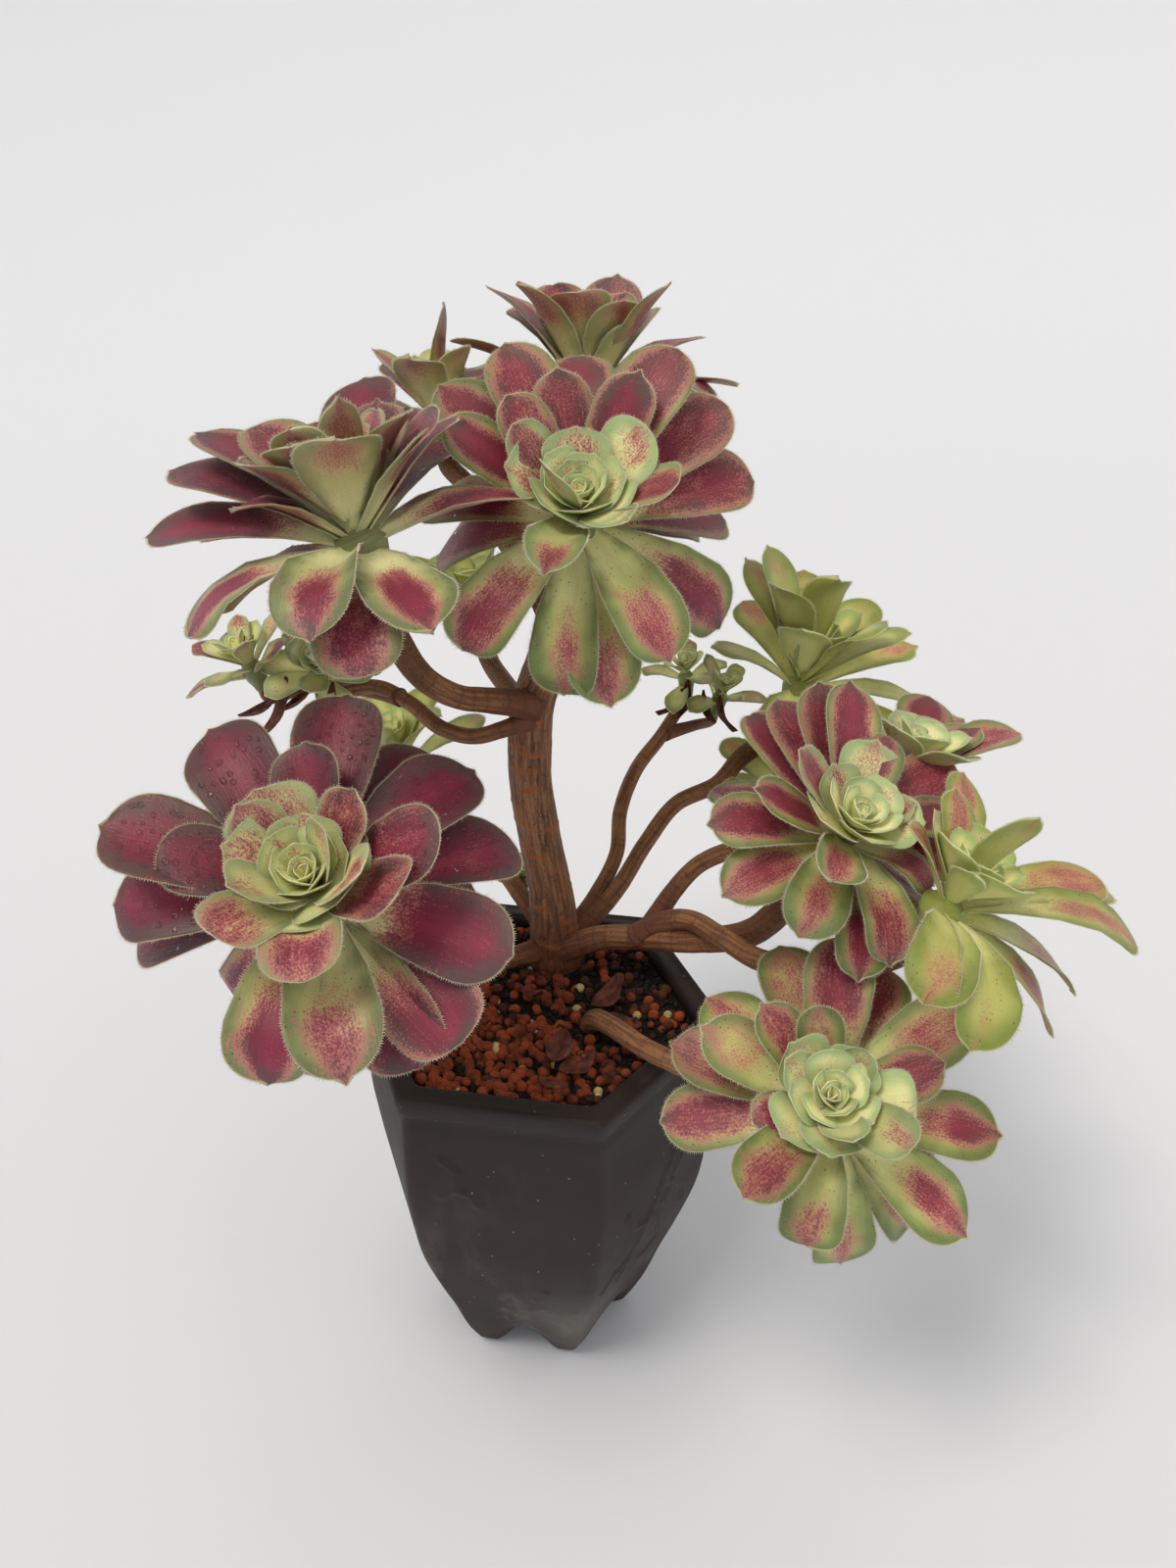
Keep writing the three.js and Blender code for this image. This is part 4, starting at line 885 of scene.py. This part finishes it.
def growStem(bm, layers, branch, number):
    headName, stations, netShare = branch
    head = heads[headName]
    axis, stem = head["axes"][0], head["stem"]
    end = head["tip"] - axis * (head["core"] + 0.3)
    full = [*stations, (*(end - axis * stem * 1.6), stem), (*end, stem)]
    points = [Vector(station[:3]) for station in full]
    rng = random.Random(40 + number)
    trunk = number == 0
    samples = 160
    line = [alongStations(points, i / samples) for i in range(samples + 1)]
    length = sum((b - a).length for a, b in zip(line, line[1:]))
    steps = max(12, round(length / stemRules["step"]))
    around = stemRules["trunkAround"] if trunk else max(14, round(max(row[3] for row in full) * 4.4))
    # rings along the line, their axes carried from one to the next
    rings = []
    side = None
    run = 0
    previous = alongStations(points, 0)
    for i in range(steps + 1):
        share = i / steps
        centre = alongStations(points, share)
        before, after = [alongStations(points, min(1, max(0, share + step))) for step in (-0.004, 0.004)]
        ahead = axis if i == steps else (after - before).normalized()
        if side is None:
            side = Vector((1, 0, 0)) if abs(ahead.x) < 0.8 else Vector((0, 1, 0))
        side = (side - ahead * side.dot(ahead)).normalized()
        run += (centre - previous).length
        previous = centre
        spot = share * (len(full) - 1)
        k = min(len(full) - 2, int(spot))
        radius = full[k][3] + (full[k + 1][3] - full[k][3]) * (spot - k)
        rings.append((centre, side.copy(), ahead.cross(side), radius, run))
    # old leaf scars on the trunk: short level marks, most of them on its front
    scars = []
    spot = stemRules["scarFrom"]
    while trunk and spot < length - stemRules["scarTo"]:
        scars.append((spot, between(rng, -2.6, -0.4), between(rng, 0.45, 0.8), between(rng, -0.25, 0.25)))
        spot += stemRules["scarGap"] * between(rng, 0.5, 1.5)
    low = (40, 80) if trunk else (0, 40)
    offset = number * 57.0
    netFrom = length * (1 - netShare)

    def put(vert, u, w):
        centre, aside, other, radius, along = rings[min(steps, max(0, round(u * (steps + 2)) - 1))]
        angle = math.tau * w
        turn = onCircle(angle)
        rough = noise.noise(turn * 1.4 + Vector((0, 0, along * 0.06 + offset)))
        fine = noise.noise(turn * radius + Vector((0, 0, along * 0.25 + offset)))
        scar = 0
        for spot, middle, wide, slope in scars:
            apart = (angle - middle + math.pi) % math.tau - math.pi
            if abs(apart) < wide:
                tall = 0.9 * math.sqrt(1 - (apart / wide) ** 2) + 0.1
                off = abs(along - spot - slope * radius * apart)
                scar = max(scar, 1 - smooth(tall * 0.7, tall * 1.5, off))
        swell = 1 + 0.05 * rough + 0.02 * fine
        if not trunk:
            swell += stemRules["flare"] * math.exp(-along / stemRules["flareLength"])
        bare = radius * swell + scar * 0.35 if 0 < u < 1 else 0
        vert.co = centre + towards(angle, aside, other) * bare
        vert[layers[0]] = turn * radius + Vector((0, 0, along + offset))
        net = smooth(netFrom - stemRules["netRun"], netFrom + 6, along) if netShare else 0
        vert[layers[1]] = (scar, net, trunk, 1 - smooth(*low, along))

    bentGrid(bm, steps + 2, around, put)


# Bark: dry cork, matt, split lengthways; brown with tan streaks and dark joints on branches, paler
# with orange-brown leaf scars on the trunk, red-brown near the soil
def barkMaterial():
    material, add = newMaterial("dryBark")
    place = add("Attribute", out="Vector", attribute_name="stemPlace")
    look = add("Attribute", attribute_name="stemLook")
    scar, net, trunk = add("SeparateColor", [look]).node.outputs
    x, y, z = add("SeparateXYZ", [place]).node.outputs
    # streaks about 1.5 mm across and 20 mm long, blotches 8 mm, dirt 0.8 mm
    stretch = add("VectorMath", (place, (0.7, 0.7, 0.05)), operation="MULTIPLY")
    fibre, blotch, dirt, push = [
        add("TexNoise", {"Vector": vector, "Scale": scale, "Detail": detail})
        for vector, scale, detail in (
            (stretch, 1.0, 5.0), (place, 0.12, 3.0), (place, 1.2, 4.0), (place, 0.3, 2.0))
    ]
    streak = add("MapRange", (fibre, 0.36, 0.66), interpolation_type="SMOOTHSTEP")
    # joints: thin dark rings about 8 mm apart on branches
    climb = add("Math", (dirt, 3.2, z), operation="MULTIPLY_ADD")
    ringPlace = add("Math", (climb, 0.125), operation="MULTIPLY")
    joint = add("TexVoronoi", {"W": ringPlace, "Scale": 1.0}, voronoi_dimensions="1D")
    branch = add("Math", (1.0, trunk), operation="SUBTRACT")
    # splits: 0.3 mm wide, 2 mm apart and 16 mm long, here and there
    bent = add("VectorMath", (place, (0.42, 0.42, 0.055)), operation="MULTIPLY")
    push = push.node.outputs["Color"]
    bent = add("VectorMath", (push, (0.7, 0.7, 0.7), bent), operation="MULTIPLY_ADD")
    split = add("TexVoronoi", {"Vector": bent, "Scale": 1.0}, feature="DISTANCE_TO_EDGE")
    # young wood: a net of pale leaf-scar lines, each mesh about 4 mm round and 3 mm along
    angle = add("Math", (y, x), operation="ARCTAN2")
    turns = add("Math", (angle, 4.0), operation="MULTIPLY")
    lines = []
    for lean in (1.0, -1.0):
        line = add("Math", (climb, lean, turns), operation="MULTIPLY_ADD")
        for operation in ("SINE", "ABSOLUTE"):
            line = add("Math", [line], operation=operation)
        lines.append(add("MapRange", (line, 0.0, 0.3, 1.0, 0.0)))
    lines = add("Math", lines, operation="MAXIMUM")
    low = add("Math", (blotch, 0.8, look.node.outputs["Alpha"]), operation="MULTIPLY_ADD")
    # how strong each colour is: a pattern times what it is kept to
    masks = {}
    for key, product, *parts in (
        ("grey", add("MapRange", (blotch, 0.3, 0.62, 0.25, 1.0)), trunk),
        ("low", add("MapRange", (low, 0.5, 1.2, 0.0, 0.8))),
        ("joint", add("MapRange", (joint, 0.01, 0.08, 0.4, 0.0)), branch),
        ("dirt", add("MapRange", (dirt, 0.52, 0.7, 0.0, 0.55))),
        ("split", add("MapRange", (split, 0.01, 0.05, 0.6, 0.0)),
         add("MapRange", (blotch, 0.38, 0.55, 0.15, 1.0)), trunk),
        ("net", lines, net),
        ("netGround", net, 0.6),
        ("netLine", lines, net, 0.8),
        ("scar", scar, 0.9),
    ):
        for part in parts:
            product = add("Math", (product, part), operation="MULTIPLY")
        masks[key] = product
    shades = {}
    for key, mask, first, second in (
        ("brown", streak, "#6c4429", "#a0704a"),
        ("grey", streak, "#6e4730", "#a07354"),
        ("scar", dirt, "#7a3c18", "#b8713c"),
        ("bark", masks["grey"], "brown", "grey"),
        ("bark", masks["low"], "bark", "#6a3a26"),
        ("bark", masks["joint"], "bark", "#33190f"),
        ("bark", masks["dirt"], "bark", "#2e1a12"),
        ("bark", masks["split"], "bark", "#24140d"),
        ("bark", masks["netGround"], "bark", "#4f2d18"),
        ("bark", masks["netLine"], "bark", "#a5682f"),
        ("bark", masks["scar"], "bark", "scar"),
    ):
        first, second = shades.get(first, first), shades.get(second, second)
        shades[key] = add("Mix", {0: mask, 6: first, 7: second}, 2, data_type="RGBA")
    height = fibre
    for key, weight in (("split", -1.2), ("joint", -0.5), ("net", 0.5)):
        height = add("Math", (masks[key], weight, height), operation="MULTIPLY_ADD")
    bump = add("Bump", {"Height": height, "Strength": 0.8, "Distance": 0.0008})
    rough = add("MapRange", (fibre, 0.3, 0.7, 0.55, 0.8))
    body = add("BsdfPrincipled", {
        "Base Color": shades["bark"], "Roughness": rough, "Normal": bump, "IOR": 1.5})
    add("OutputMaterial", [body])
    return material


def growWood(material):
    for name, node, parts in (("barkedTrunk", "trunk", branches), ("barkedCane", "lowCane", [lowCane])):
        bm = bmesh.new()
        bm.loops.layers.uv.new("stemMap")
        layers = (bm.verts.layers.float_vector.new("stemPlace"), bm.verts.layers.float_color.new("stemLook"))
        for number, branch in enumerate(parts):
            growStem(bm, layers, branch, number if node == "trunk" else 30)
        makePiece(name, bm, [material], "bark", [node])
    print("wood: trunk, branches and low cane")


pot = {  # mm and degrees; profiles are height, radius
    "turn": -9.7,
    "outer": [(0, 42), (4, 45.5), (20, 53.5), (31, 56), (58, 66.5), (84, 75.2), (124, 80.3), (160, 79.2),
              (165.5, 78.2), (167.5, 79.4), (169, 81), (174, 81.8), (176.6, 81.4), (178, 79.8)],
    "inner": [(20, 44), (58, 60.5), (84, 69), (118, 73.6), (168, 71), (174, 70)],
    "footInside": 22,
    "underFloor": 15,
    "archHalf": 16.5,
    "archHeight": 15,
    "archReach": 34,  # the lower wall gives way to the arch up to this height
    "drain": 7,
    "corner": 0.045,
    "perSide": 60,
    "rows": (130, 30),  # of the mesh, outside and inside
    "cornerPull": 0.5,  # how far the mesh lines are drawn towards the corners
    "relief": 1.4,
}
# strokes of a plain curling leaf spray raised on two faces: side, points (across, up) in mm, half width
reliefStrokes = [
    (5, [(20, 152), (14, 134), (4, 112), (-4, 92), (-12, 74), (-14, 58)], 1.7),
    (5, [(26, 148), (21, 130), (12, 110), (8, 96)], 1.5),
    (5, [(-4, 92), (-14, 98), (-20, 110)], 1.5),
    (5, [(4, 112), (14, 100), (22, 92), (24, 82)], 1.5),
    (5, [(-12, 74), (-21, 72), (-26, 62)], 1.5),
    (5, [(-12, 74), (-4, 64), (6, 60), (12, 66)], 1.6),
    (5, [(-2, 96), (6, 84), (10, 74)], 1.4),
    (4, [(5, 46), (12, 52), (19, 46), (26, 51)], 2.2),
    (4, [(5, 32), (11, 25), (19, 26), (23, 34), (17, 38)], 2.2),
    (4, [(-4, 34), (2, 39), (8, 37)], 1.8),
    (4, [(10, 58), (14, 62), (15, 68)], 1.3),
    (4, [(-25, 147), (-18, 141), (-20, 132), (-26, 127)], 1.5),
    (4, [(-20, 132), (-13, 130), (-10, 124)], 1.3),
]


def onProfile(profile, z):
    for (z0, r0), (z1, r1) in zip(profile, profile[1:]):
        if z <= z1:
            return r0 + (r1 - r0) * max(0, z - z0) / (z1 - z0)
    return profile[-1][1]


# smoother than the straight pieces of the profile
def softProfile(profile, z):
    return sum(onProfile(profile, z + step) for step in range(-10, 11, 2)) / 11


# a point of the six-sided outline for a share round it, with rounded corners, for radius 1
def sixSided(share, corner):
    side, part = divmod(share * 6, 1)
    at = [onCircle(math.radians(60 * (side + k) + pot["turn"])) for k in (-1, 0, 1, 2)]
    near = min(part, 1 - part)
    if near >= corner:
        return at[1].lerp(at[2], part)
    before, pivot, after = at[:3] if part < 0.5 else at[:0:-1]
    a, b = pivot.lerp(before, corner), pivot.lerp(after, corner)
    t = 0.5 + 0.5 * near / corner
    return a * (1 - t) ** 2 + pivot * (2 * t * (1 - t)) + b * t * t


def reliefAt(side, across, z):
    height = 0
    for strokeSide, points, wide in reliefStrokes:
        if strokeSide != side:
            continue
        for (x0, z0), (x1, z1) in zip(points, points[1:]):
            run = (x1 - x0) ** 2 + (z1 - z0) ** 2
            t = min(1, max(0, ((across - x0) * (x1 - x0) + (z - z0) * (z1 - z0)) / run))
            apart = math.hypot(across - x0 - t * (x1 - x0), z - z0 - t * (z1 - z0))
            height = max(height, 1 - smooth(0, wide * 1.6, apart))
    return height * pot["relief"]


# how high the arch between two feet stands at a distance from its middle
def archRise(span):
    return pot["archHeight"] * (0.5 + 0.5 * math.cos(math.pi * min(1, abs(span) / pot["archHalf"]))) ** 0.72


def throwPot(material):
    outerCount, innerCount = pot["rows"]
    top, innerTop, drain = pot["outer"][-1][0], pot["inner"][-1][0], pot["drain"]
    floor, under = pot["inner"][0][0], pot["underFloor"]
    # one closed loop round the clay's section, each part by heights or radii
    rows = [(kind, value) for kind, values in (
        ("outer", [top * (1 - i / outerCount) for i in range(outerCount + 1)]),
        ("sole", (38, 33, 28, 24, pot["footInside"])),
        ("footInside", (4, 8, 12, 15)),
        ("underFloor", (18, 13, drain + 1, drain)),
        ("floor", (drain + 0.4, 14, 24, 34, 42)),
        ("inner", [floor + (innerTop - floor) * i / innerCount for i in range(innerCount + 1)]),
        ("rim", (0.06, 0.2, 0.5, 0.8)),
    ) for value in values]
    bm = bmesh.new()
    bm.loops.layers.uv.new("potMap")

    def put(vert, u, w):
        kind, value = rows[round(u * len(rows)) % len(rows)]
        side = int(w * 6 + 1e-6) % 6
        part = (w * 6 + 1e-6) % 1 - 1e-6
        part -= pot["cornerPull"] * math.sin(math.tau * part) / math.tau
        outline = sixSided((side + max(0, part)) / 6 % 1, pot["corner"])
        reach = part - 0.5
        radius, z = value, value
        if kind == "outer":
            rise = archRise(reach * 50)
            if value < pot["archReach"]:
                z = rise + value * (1 - rise / pot["archReach"])
            level = value + (z - value) * smooth(4, 30, value)
            radius = (softProfile if level > 10 and value < 150 else onProfile)(pot["outer"], level)
            radius -= max(0, 3 - value) * 0.6
            if 24 < z < 160:
                radius += reliefAt(side, reach * radius, z)
        elif kind == "sole":
            z = archRise(reach * 50)
        elif kind == "footInside":
            radius, z = pot["footInside"], min(under, max(value, archRise(reach * 24)))
        elif kind == "underFloor":
            z = under if value > drain else under + 2
        elif kind == "floor":
            z = floor
        elif kind == "inner":
            radius = onProfile(pot["inner"], value)
        else:
            inner, outer = pot["inner"][-1][1] + 0.8, pot["outer"][-1][1]
            radius = inner + (outer - inner) * value
            z = top - 0.8 + 0.8 * math.sin(math.pi * min(1, value * 1.4 + 0.15))
        if kind in ("underFloor", "floor") and radius < 16:
            outline = onCircle(math.tau * w + math.radians(pot["turn"]))
        vert.co = (outline.x * radius, outline.y * radius, z)

    bentGrid(bm, len(rows), 6 * pot["perSide"], put)
    makePiece("clayPot", bm, [material], "clay", ["pot"])
    print("pot: thrown six-sided, with arches and pressed relief")


# Unglazed dark clay: dense, matt with a faint burnish, smeared with dried lime and darker where wet
def clayMaterial():
    material, add = newMaterial("unglazedClay")
    coords = add("TexCoord", out="Object")
    height = add("SeparateXYZ", [coords], 2)
    smears = add("Mapping", {"Vector": coords, "Rotation": (0.0, 0.6, 0.3), "Scale": (1.0, 1.0, 0.45)})
    drips = add("Mapping", {"Vector": coords, "Scale": (60.0, 60.0, 6.0)})
    # clay tone changes over 60 mm, smears are 15 mm by 4 mm, grit is 0.6 mm
    tone, cloud, grit, drip, smear = [
        add("TexNoise", {"Vector": vector, "Scale": scale, "Detail": detail, "Roughness": rough})
        for vector, scale, detail, rough in (
            (coords, 16.0, 3.0, 0.5), (coords, 19.0, 2.0, 0.5), (coords, 900.0, 2.0, 0.5),
            (drips, 1.0, 1.0, 0.5), (smears, 42.0, 7.0, 0.62))
    ]
    speck = add("TexVoronoi", {"Vector": coords, "Scale": 120.0})
    # dried lime: thin scuffs all over, thick low on the face at the front right
    away = add("VectorMath", (coords, (-0.024, -0.088, 0.034)), "Value", operation="DISTANCE")
    cloudMask = add("MapRange", (cloud, 0.5, 0.68), interpolation_type="SMOOTHSTEP")
    smearMask = add("MapRange", (smear, 0.48, 0.7))
    low = add("MapRange", (height, 0.01, 0.11, 0.8, 0.08))
    chalk = add("MapRange", (away, 0.006, 0.04, 0.75, 0.0))
    chalk = add("Math", (chalk, smear), operation="MULTIPLY")
    lime = add("Math", (smearMask, cloudMask), operation="MULTIPLY")
    lime = add("Math", (lime, low, chalk), operation="MULTIPLY_ADD")
    # wet below the rim, with drips
    wetField = add("Math", (drip, 0.1, height), operation="MULTIPLY_ADD")
    wet = add("MapRange", (wetField, 0.214, 0.219, 0.0, 0.75))
    speckMask = add("MapRange", (speck, 0.03, 0.07, 0.6, 0.0))
    clay = "#150b09"
    for mask, colour in ((tone, "#2a1b17"), (lime, "#8a8780"), (wet, "#1d1210"), (speckMask, "#9a958c")):
        clay = add("Mix", {0: mask, 6: clay, 7: colour}, 2, data_type="RGBA")
    rough = add("MapRange", (tone, 0.3, 0.7, 0.55, 0.72))
    relief = add("Math", (smear, 1.6, grit), operation="MULTIPLY_ADD")
    bump = add("Bump", {"Height": relief, "Strength": 0.25, "Distance": 0.0004})
    body = add("BsdfPrincipled", {"Base Color": clay, "Roughness": rough, "Normal": bump, "IOR": 1.5})
    add("OutputMaterial", [body])
    return material


soil = {
    "height": 171.5,
    "bump": 1.6,
    "bed": ("peatAndAsh", "#070404", "#180f0a", 2.0, 0.95),
    "sides": [(20.4, 0), (20.4, 0.5), (20.4, 1), (58, 1), (84, 1), (118, 1), (168, 1)],  # height, share
    # finish as name, dark, bright, grain in mm, roughness; then count, size, margin, sink, uneven, fineness
    "grains": {
        "redLavaGrains": (
            ("redLava", "#52200f", "#b9572c", 4.0, 0.85), 600, (3.6, 5.6), 2, (0.0, 0.9), 0.08, 2),
        "brownLavaGrains": (
            ("brownLava", "#2c120b", "#70371f", 5.0, 0.85), 170, (3.0, 5.2), 2, (0.0, 0.8), 0.08, 2),
        "blackCrumbs": (
            ("blackLava", "#080504", "#2b1f18", 2.5, 0.8), 1700, (1.2, 3.4), 1, (0.0, 0.8), 0.2, 1),
        "feedBeads": (("creamBeads", "#c4a55a", "#e3d49a", 4.0, 0.45), 18, (3.6, 4.6), 4, (0.5, 1.0), 0, 2),
        "perliteGrains": (("perlite", "#b4b0a8", "#e6e3dc", 3.0, 0.8), 14, (1.8, 3.4), 4, (0.4, 1.0), 0.1, 2),
    },
}


# Mineral grain: dull, porous, colour changing from grain to grain over its own size
def grainMaterial(name, dark, bright, size, roughness):
    material, add = newMaterial(name)
    coords = add("TexCoord", out="Object")
    tone = add("TexNoise", {"Vector": coords, "Scale": 1000 / (size * 2.2), "Detail": 3.0})
    pore = add("TexNoise", {"Vector": coords, "Scale": 1400.0, "Detail": 3.0})
    mask = add("MapRange", (tone, 0.3, 0.7))
    grain = add("Mix", {0: mask, 6: dark, 7: bright}, 2, data_type="RGBA")
    shade = add("MapRange", (pore, 0.3, 0.7, 0.7, 1.15))
    tint = add("HueSaturation", {"Value": shade, "Color": grain})
    bump = add("Bump", {"Height": pore, "Strength": 0.7, "Distance": 0.0005})
    body = add("BsdfPrincipled", {"Base Color": tint, "Roughness": roughness, "Normal": bump, "IOR": 1.5})
    add("OutputMaterial", [body])
    return material


def soilTop(x, y):
    return soil["height"] + soil["bump"] * noise.noise(Vector((x * 0.09, y * 0.09, 3)))


# a random place inside the pot, clear of the trunk and the cane
def soilPlace(rng, margin):
    while True:
        share = rng.random()
        place = sixSided(share, 0.05) * (69 - margin) * math.sqrt(rng.random())
        if (place.xy - Vector((8.4, 37))).length > 15 and (place.xy - Vector((24, -12))).length > 6:
            return place


# where the photograph shows mostly red grains: front left of the soil, fewer to the right
def redPlace(rng, margin):
    while True:
        place = soilPlace(rng, margin)
        redness = 0.2 + 0.8 * smooth(20, -40, place.x + 0.7 * place.y) + 0.5 * noise.noise(place * 0.06)
        if rng.random() < redness:
            return place


def strewGrains(name, material, count, size, margin, sink, uneven, fine, rng):
    bm = bmesh.new()
    choose = redPlace if name == "redLavaGrains" else soilPlace
    for _ in range(count):
        spot = choose(rng, margin)
        radius = between(rng, *size) / 2
        height = soilTop(spot.x, spot.y) + radius * between(rng, *sink)
        shape = [between(rng, 1 - uneven * 1.5, 1 + uneven) for _ in range(3)]
        angle = between(rng, 0, 6.28)
        turn = Matrix.Rotation(angle, 4, Vector([between(rng, -1, 1) for _ in range(3)]).normalized())
        matrix = Matrix.Translation((spot.x, spot.y, height)) @ turn @ Matrix.Diagonal((*shape, 1))
        made = bmesh.ops.create_icosphere(bm, subdivisions=fine, radius=radius, matrix=matrix)
        for vert in made["verts"]:
            vert.co += Vector([between(rng, -uneven, uneven) * radius for _ in range(3)])
    makePiece(name, bm, [material], "grit")


def fillSoil():
    bm = bmesh.new()
    bm.loops.layers.uv.new("soilMap")
    rows = soil["sides"] + [(None, 1 - i / 14) for i in range(15)]

    def put(vert, u, w):
        z, share = rows[round(u * (len(rows) - 1))]
        radius = (onProfile(pot["inner"], z or soil["height"]) - 0.9) * share
        point = sixSided(w % 1, 0.085) * radius
        vert.co = (point.x, point.y, z or soilTop(point.x, point.y))

    bentGrid(bm, len(rows) - 1, 72, put)
    makePiece("soilBed", bm, [grainMaterial(*soil["bed"])], "grit", ["soil"])
    rng = random.Random(11)
    finishes = {}
    for name, (finish, *rules) in soil["grains"].items():
        finishes[name] = grainMaterial(*finish)
        strewGrains(name, finishes[name], *rules, rng)
    bm = bmesh.new()
    turn = Matrix.Rotation(0.3, 4, "Z")
    matrix = Matrix.Translation((-15, -29, 174)) @ turn @ Matrix.Diagonal((0.5, 1, 0.5, 1))
    bmesh.ops.create_uvsphere(bm, u_segments=16, v_segments=10, radius=4.2, matrix=matrix)
    makePiece("seedHusk", bm, [finishes["feedBeads"]], "grit")
    print("soil: bed, lava, crumbs, beads, perlite and a seed husk")


# Dead leaf: papery, maroon-brown, matt, with long wrinkles
def dryLeafMaterial():
    material, add = newMaterial("dryLeafPaper")
    place = add("Attribute", out="Vector", attribute_name="dryPlace")
    stretch = add("VectorMath", (place, (0.12, 1.1, 1.0)), operation="MULTIPLY")
    wrinkle = add("TexNoise", {"Vector": stretch, "Scale": 1.0, "Detail": 4.0})
    patch = add("TexNoise", {"Vector": place, "Scale": 0.25, "Detail": 3.0})
    mask = add("MapRange", (patch, 0.35, 0.65))
    tone = add("Mix", {0: mask, 6: "#471a1a", 7: "#7a4636"}, 2, data_type="RGBA")
    shade = add("MapRange", (wrinkle, 0.3, 0.7, 0.6, 1.25))
    tint = add("HueSaturation", {"Value": shade, "Color": tone})
    bump = add("Bump", {"Height": wrinkle, "Strength": 0.8, "Distance": 0.0008})
    body = add("BsdfPrincipled", {"Base Color": tint, "Roughness": 0.7, "Normal": bump, "IOR": 1.45})
    add("OutputMaterial", [body])
    return material


# a shrivelled leaf about a centre: along its turn, tipped, with its edges rolled up
def shrivelLeaf(bm, layer, centre, length, width, turn, tilt, curl, rng):
    heading = Matrix.Rotation(math.radians(turn), 3, "Z") @ Matrix.Rotation(math.radians(tilt), 3, "Y")
    phase = between(rng, 0, 6)
    seed = between(rng, 0, 300)

    def put(vert, u, w):
        v, side = math.cos(math.tau * w), math.sin(math.tau * w)
        half = width / 2 * math.sin(math.pi * (0.06 + 0.88 * u)) * (0 if u in (0, 1) else 1)
        rise = curl * (2 * u - 1) ** 2 + curl * 0.5 * abs(v) ** 1.5 + 0.5 * math.sin(phase + 9 * u + 3 * v)
        point = Vector((length * (u - 0.5), half * v * 0.9, rise + 0.35 * side))
        vert.co = Vector(centre) + heading @ point
        vert[layer] = (length * u, half * v, seed)

    bentGrid(bm, 10, 12, put)


# centre, length, width, turn, tilt, curl of each leaf; the first three lie where their nodes do
dryLeaves = {
    "dryLeafA": [((18, -40, None), 18, 13, 40, 0, 2.6)],
    "dryLeafB": [((38, -12, None), 17, 12, -30, 0, 2.2)],
    "dryLeafC": [((-22, -8, None), 16, 7, 100, 0, 2.4)],
    "leafLitter": [
        ((11, -33, 178), 16, 13, 70, -20, 2.2), ((33, 0, 180), 19, 15, 20, -42, 2.6),
        ((-2, 5, 176), 13, 6, 150, 12, 2), ((8, -52, 175), 12, 6, -15, 8, 1.8),
        ((-30, 12, 177), 15, 7, 60, 15, 2.5), ((-18, 22, 176), 12, 6, 120, 10, 2),
    ],
    "witheredLeaves": [  # lower leaves that still hang by the young heads
        ((-96, 44, 301), 24, 7, 200, 42, 3), ((-104, 38, 298), 26, 8, 230, 55, 4),
        ((-84, 40, 297), 22, 6, 250, 60, 3), ((-112, 44, 296), 24, 8, 190, 35, 4),
        ((72, 130, 262), 20, 6, 240, 60, 4), ((80, 126, 258), 18, 5, 300, 50, 5),
        ((66, 128, 259), 18, 5, 200, 40, 4), ((88, 124, 256), 20, 5, 330, 62, 4),
    ],
}


def dropDryLeaves(material):
    for name, leaves in dryLeaves.items():
        rng = random.Random(name)
        bm = bmesh.new()
        layer = bm.verts.layers.float_vector.new("dryPlace")
        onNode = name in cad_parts
        for (x, y, z), *form in leaves:
            if onNode:
                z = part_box(name)[0].z / mm + 0.6
            shrivelLeaf(bm, layer, (x, y, z), *form, rng)
        if onNode:
            makePiece(name + "Shrivelled", bm, [material], "dry_leaf", [name])
        else:
            makePiece(name, bm, [material], "dry_leaf")
    print("dry leaves: on the soil and by the young heads")


for head in heads.values():
    spellOut(head)
buildStudio()
throwPot(clayMaterial())
fillSoil()
growWood(barkMaterial())
dropDryLeaves(dryLeafMaterial())
skins = {name: waxyLeafSkin(name, column) for column, name in enumerate(leafSkins)}
hairSkin = plainMaterial("rimHair")
dropList = []
for number, (name, head) in enumerate(heads.items()):
    dropList.append((head, growHead(name, head, number, skins, hairSkin)))
placeDrops(dropList, plainMaterial("clearWater"))
print("heads: leaves, rim hairs and drops")
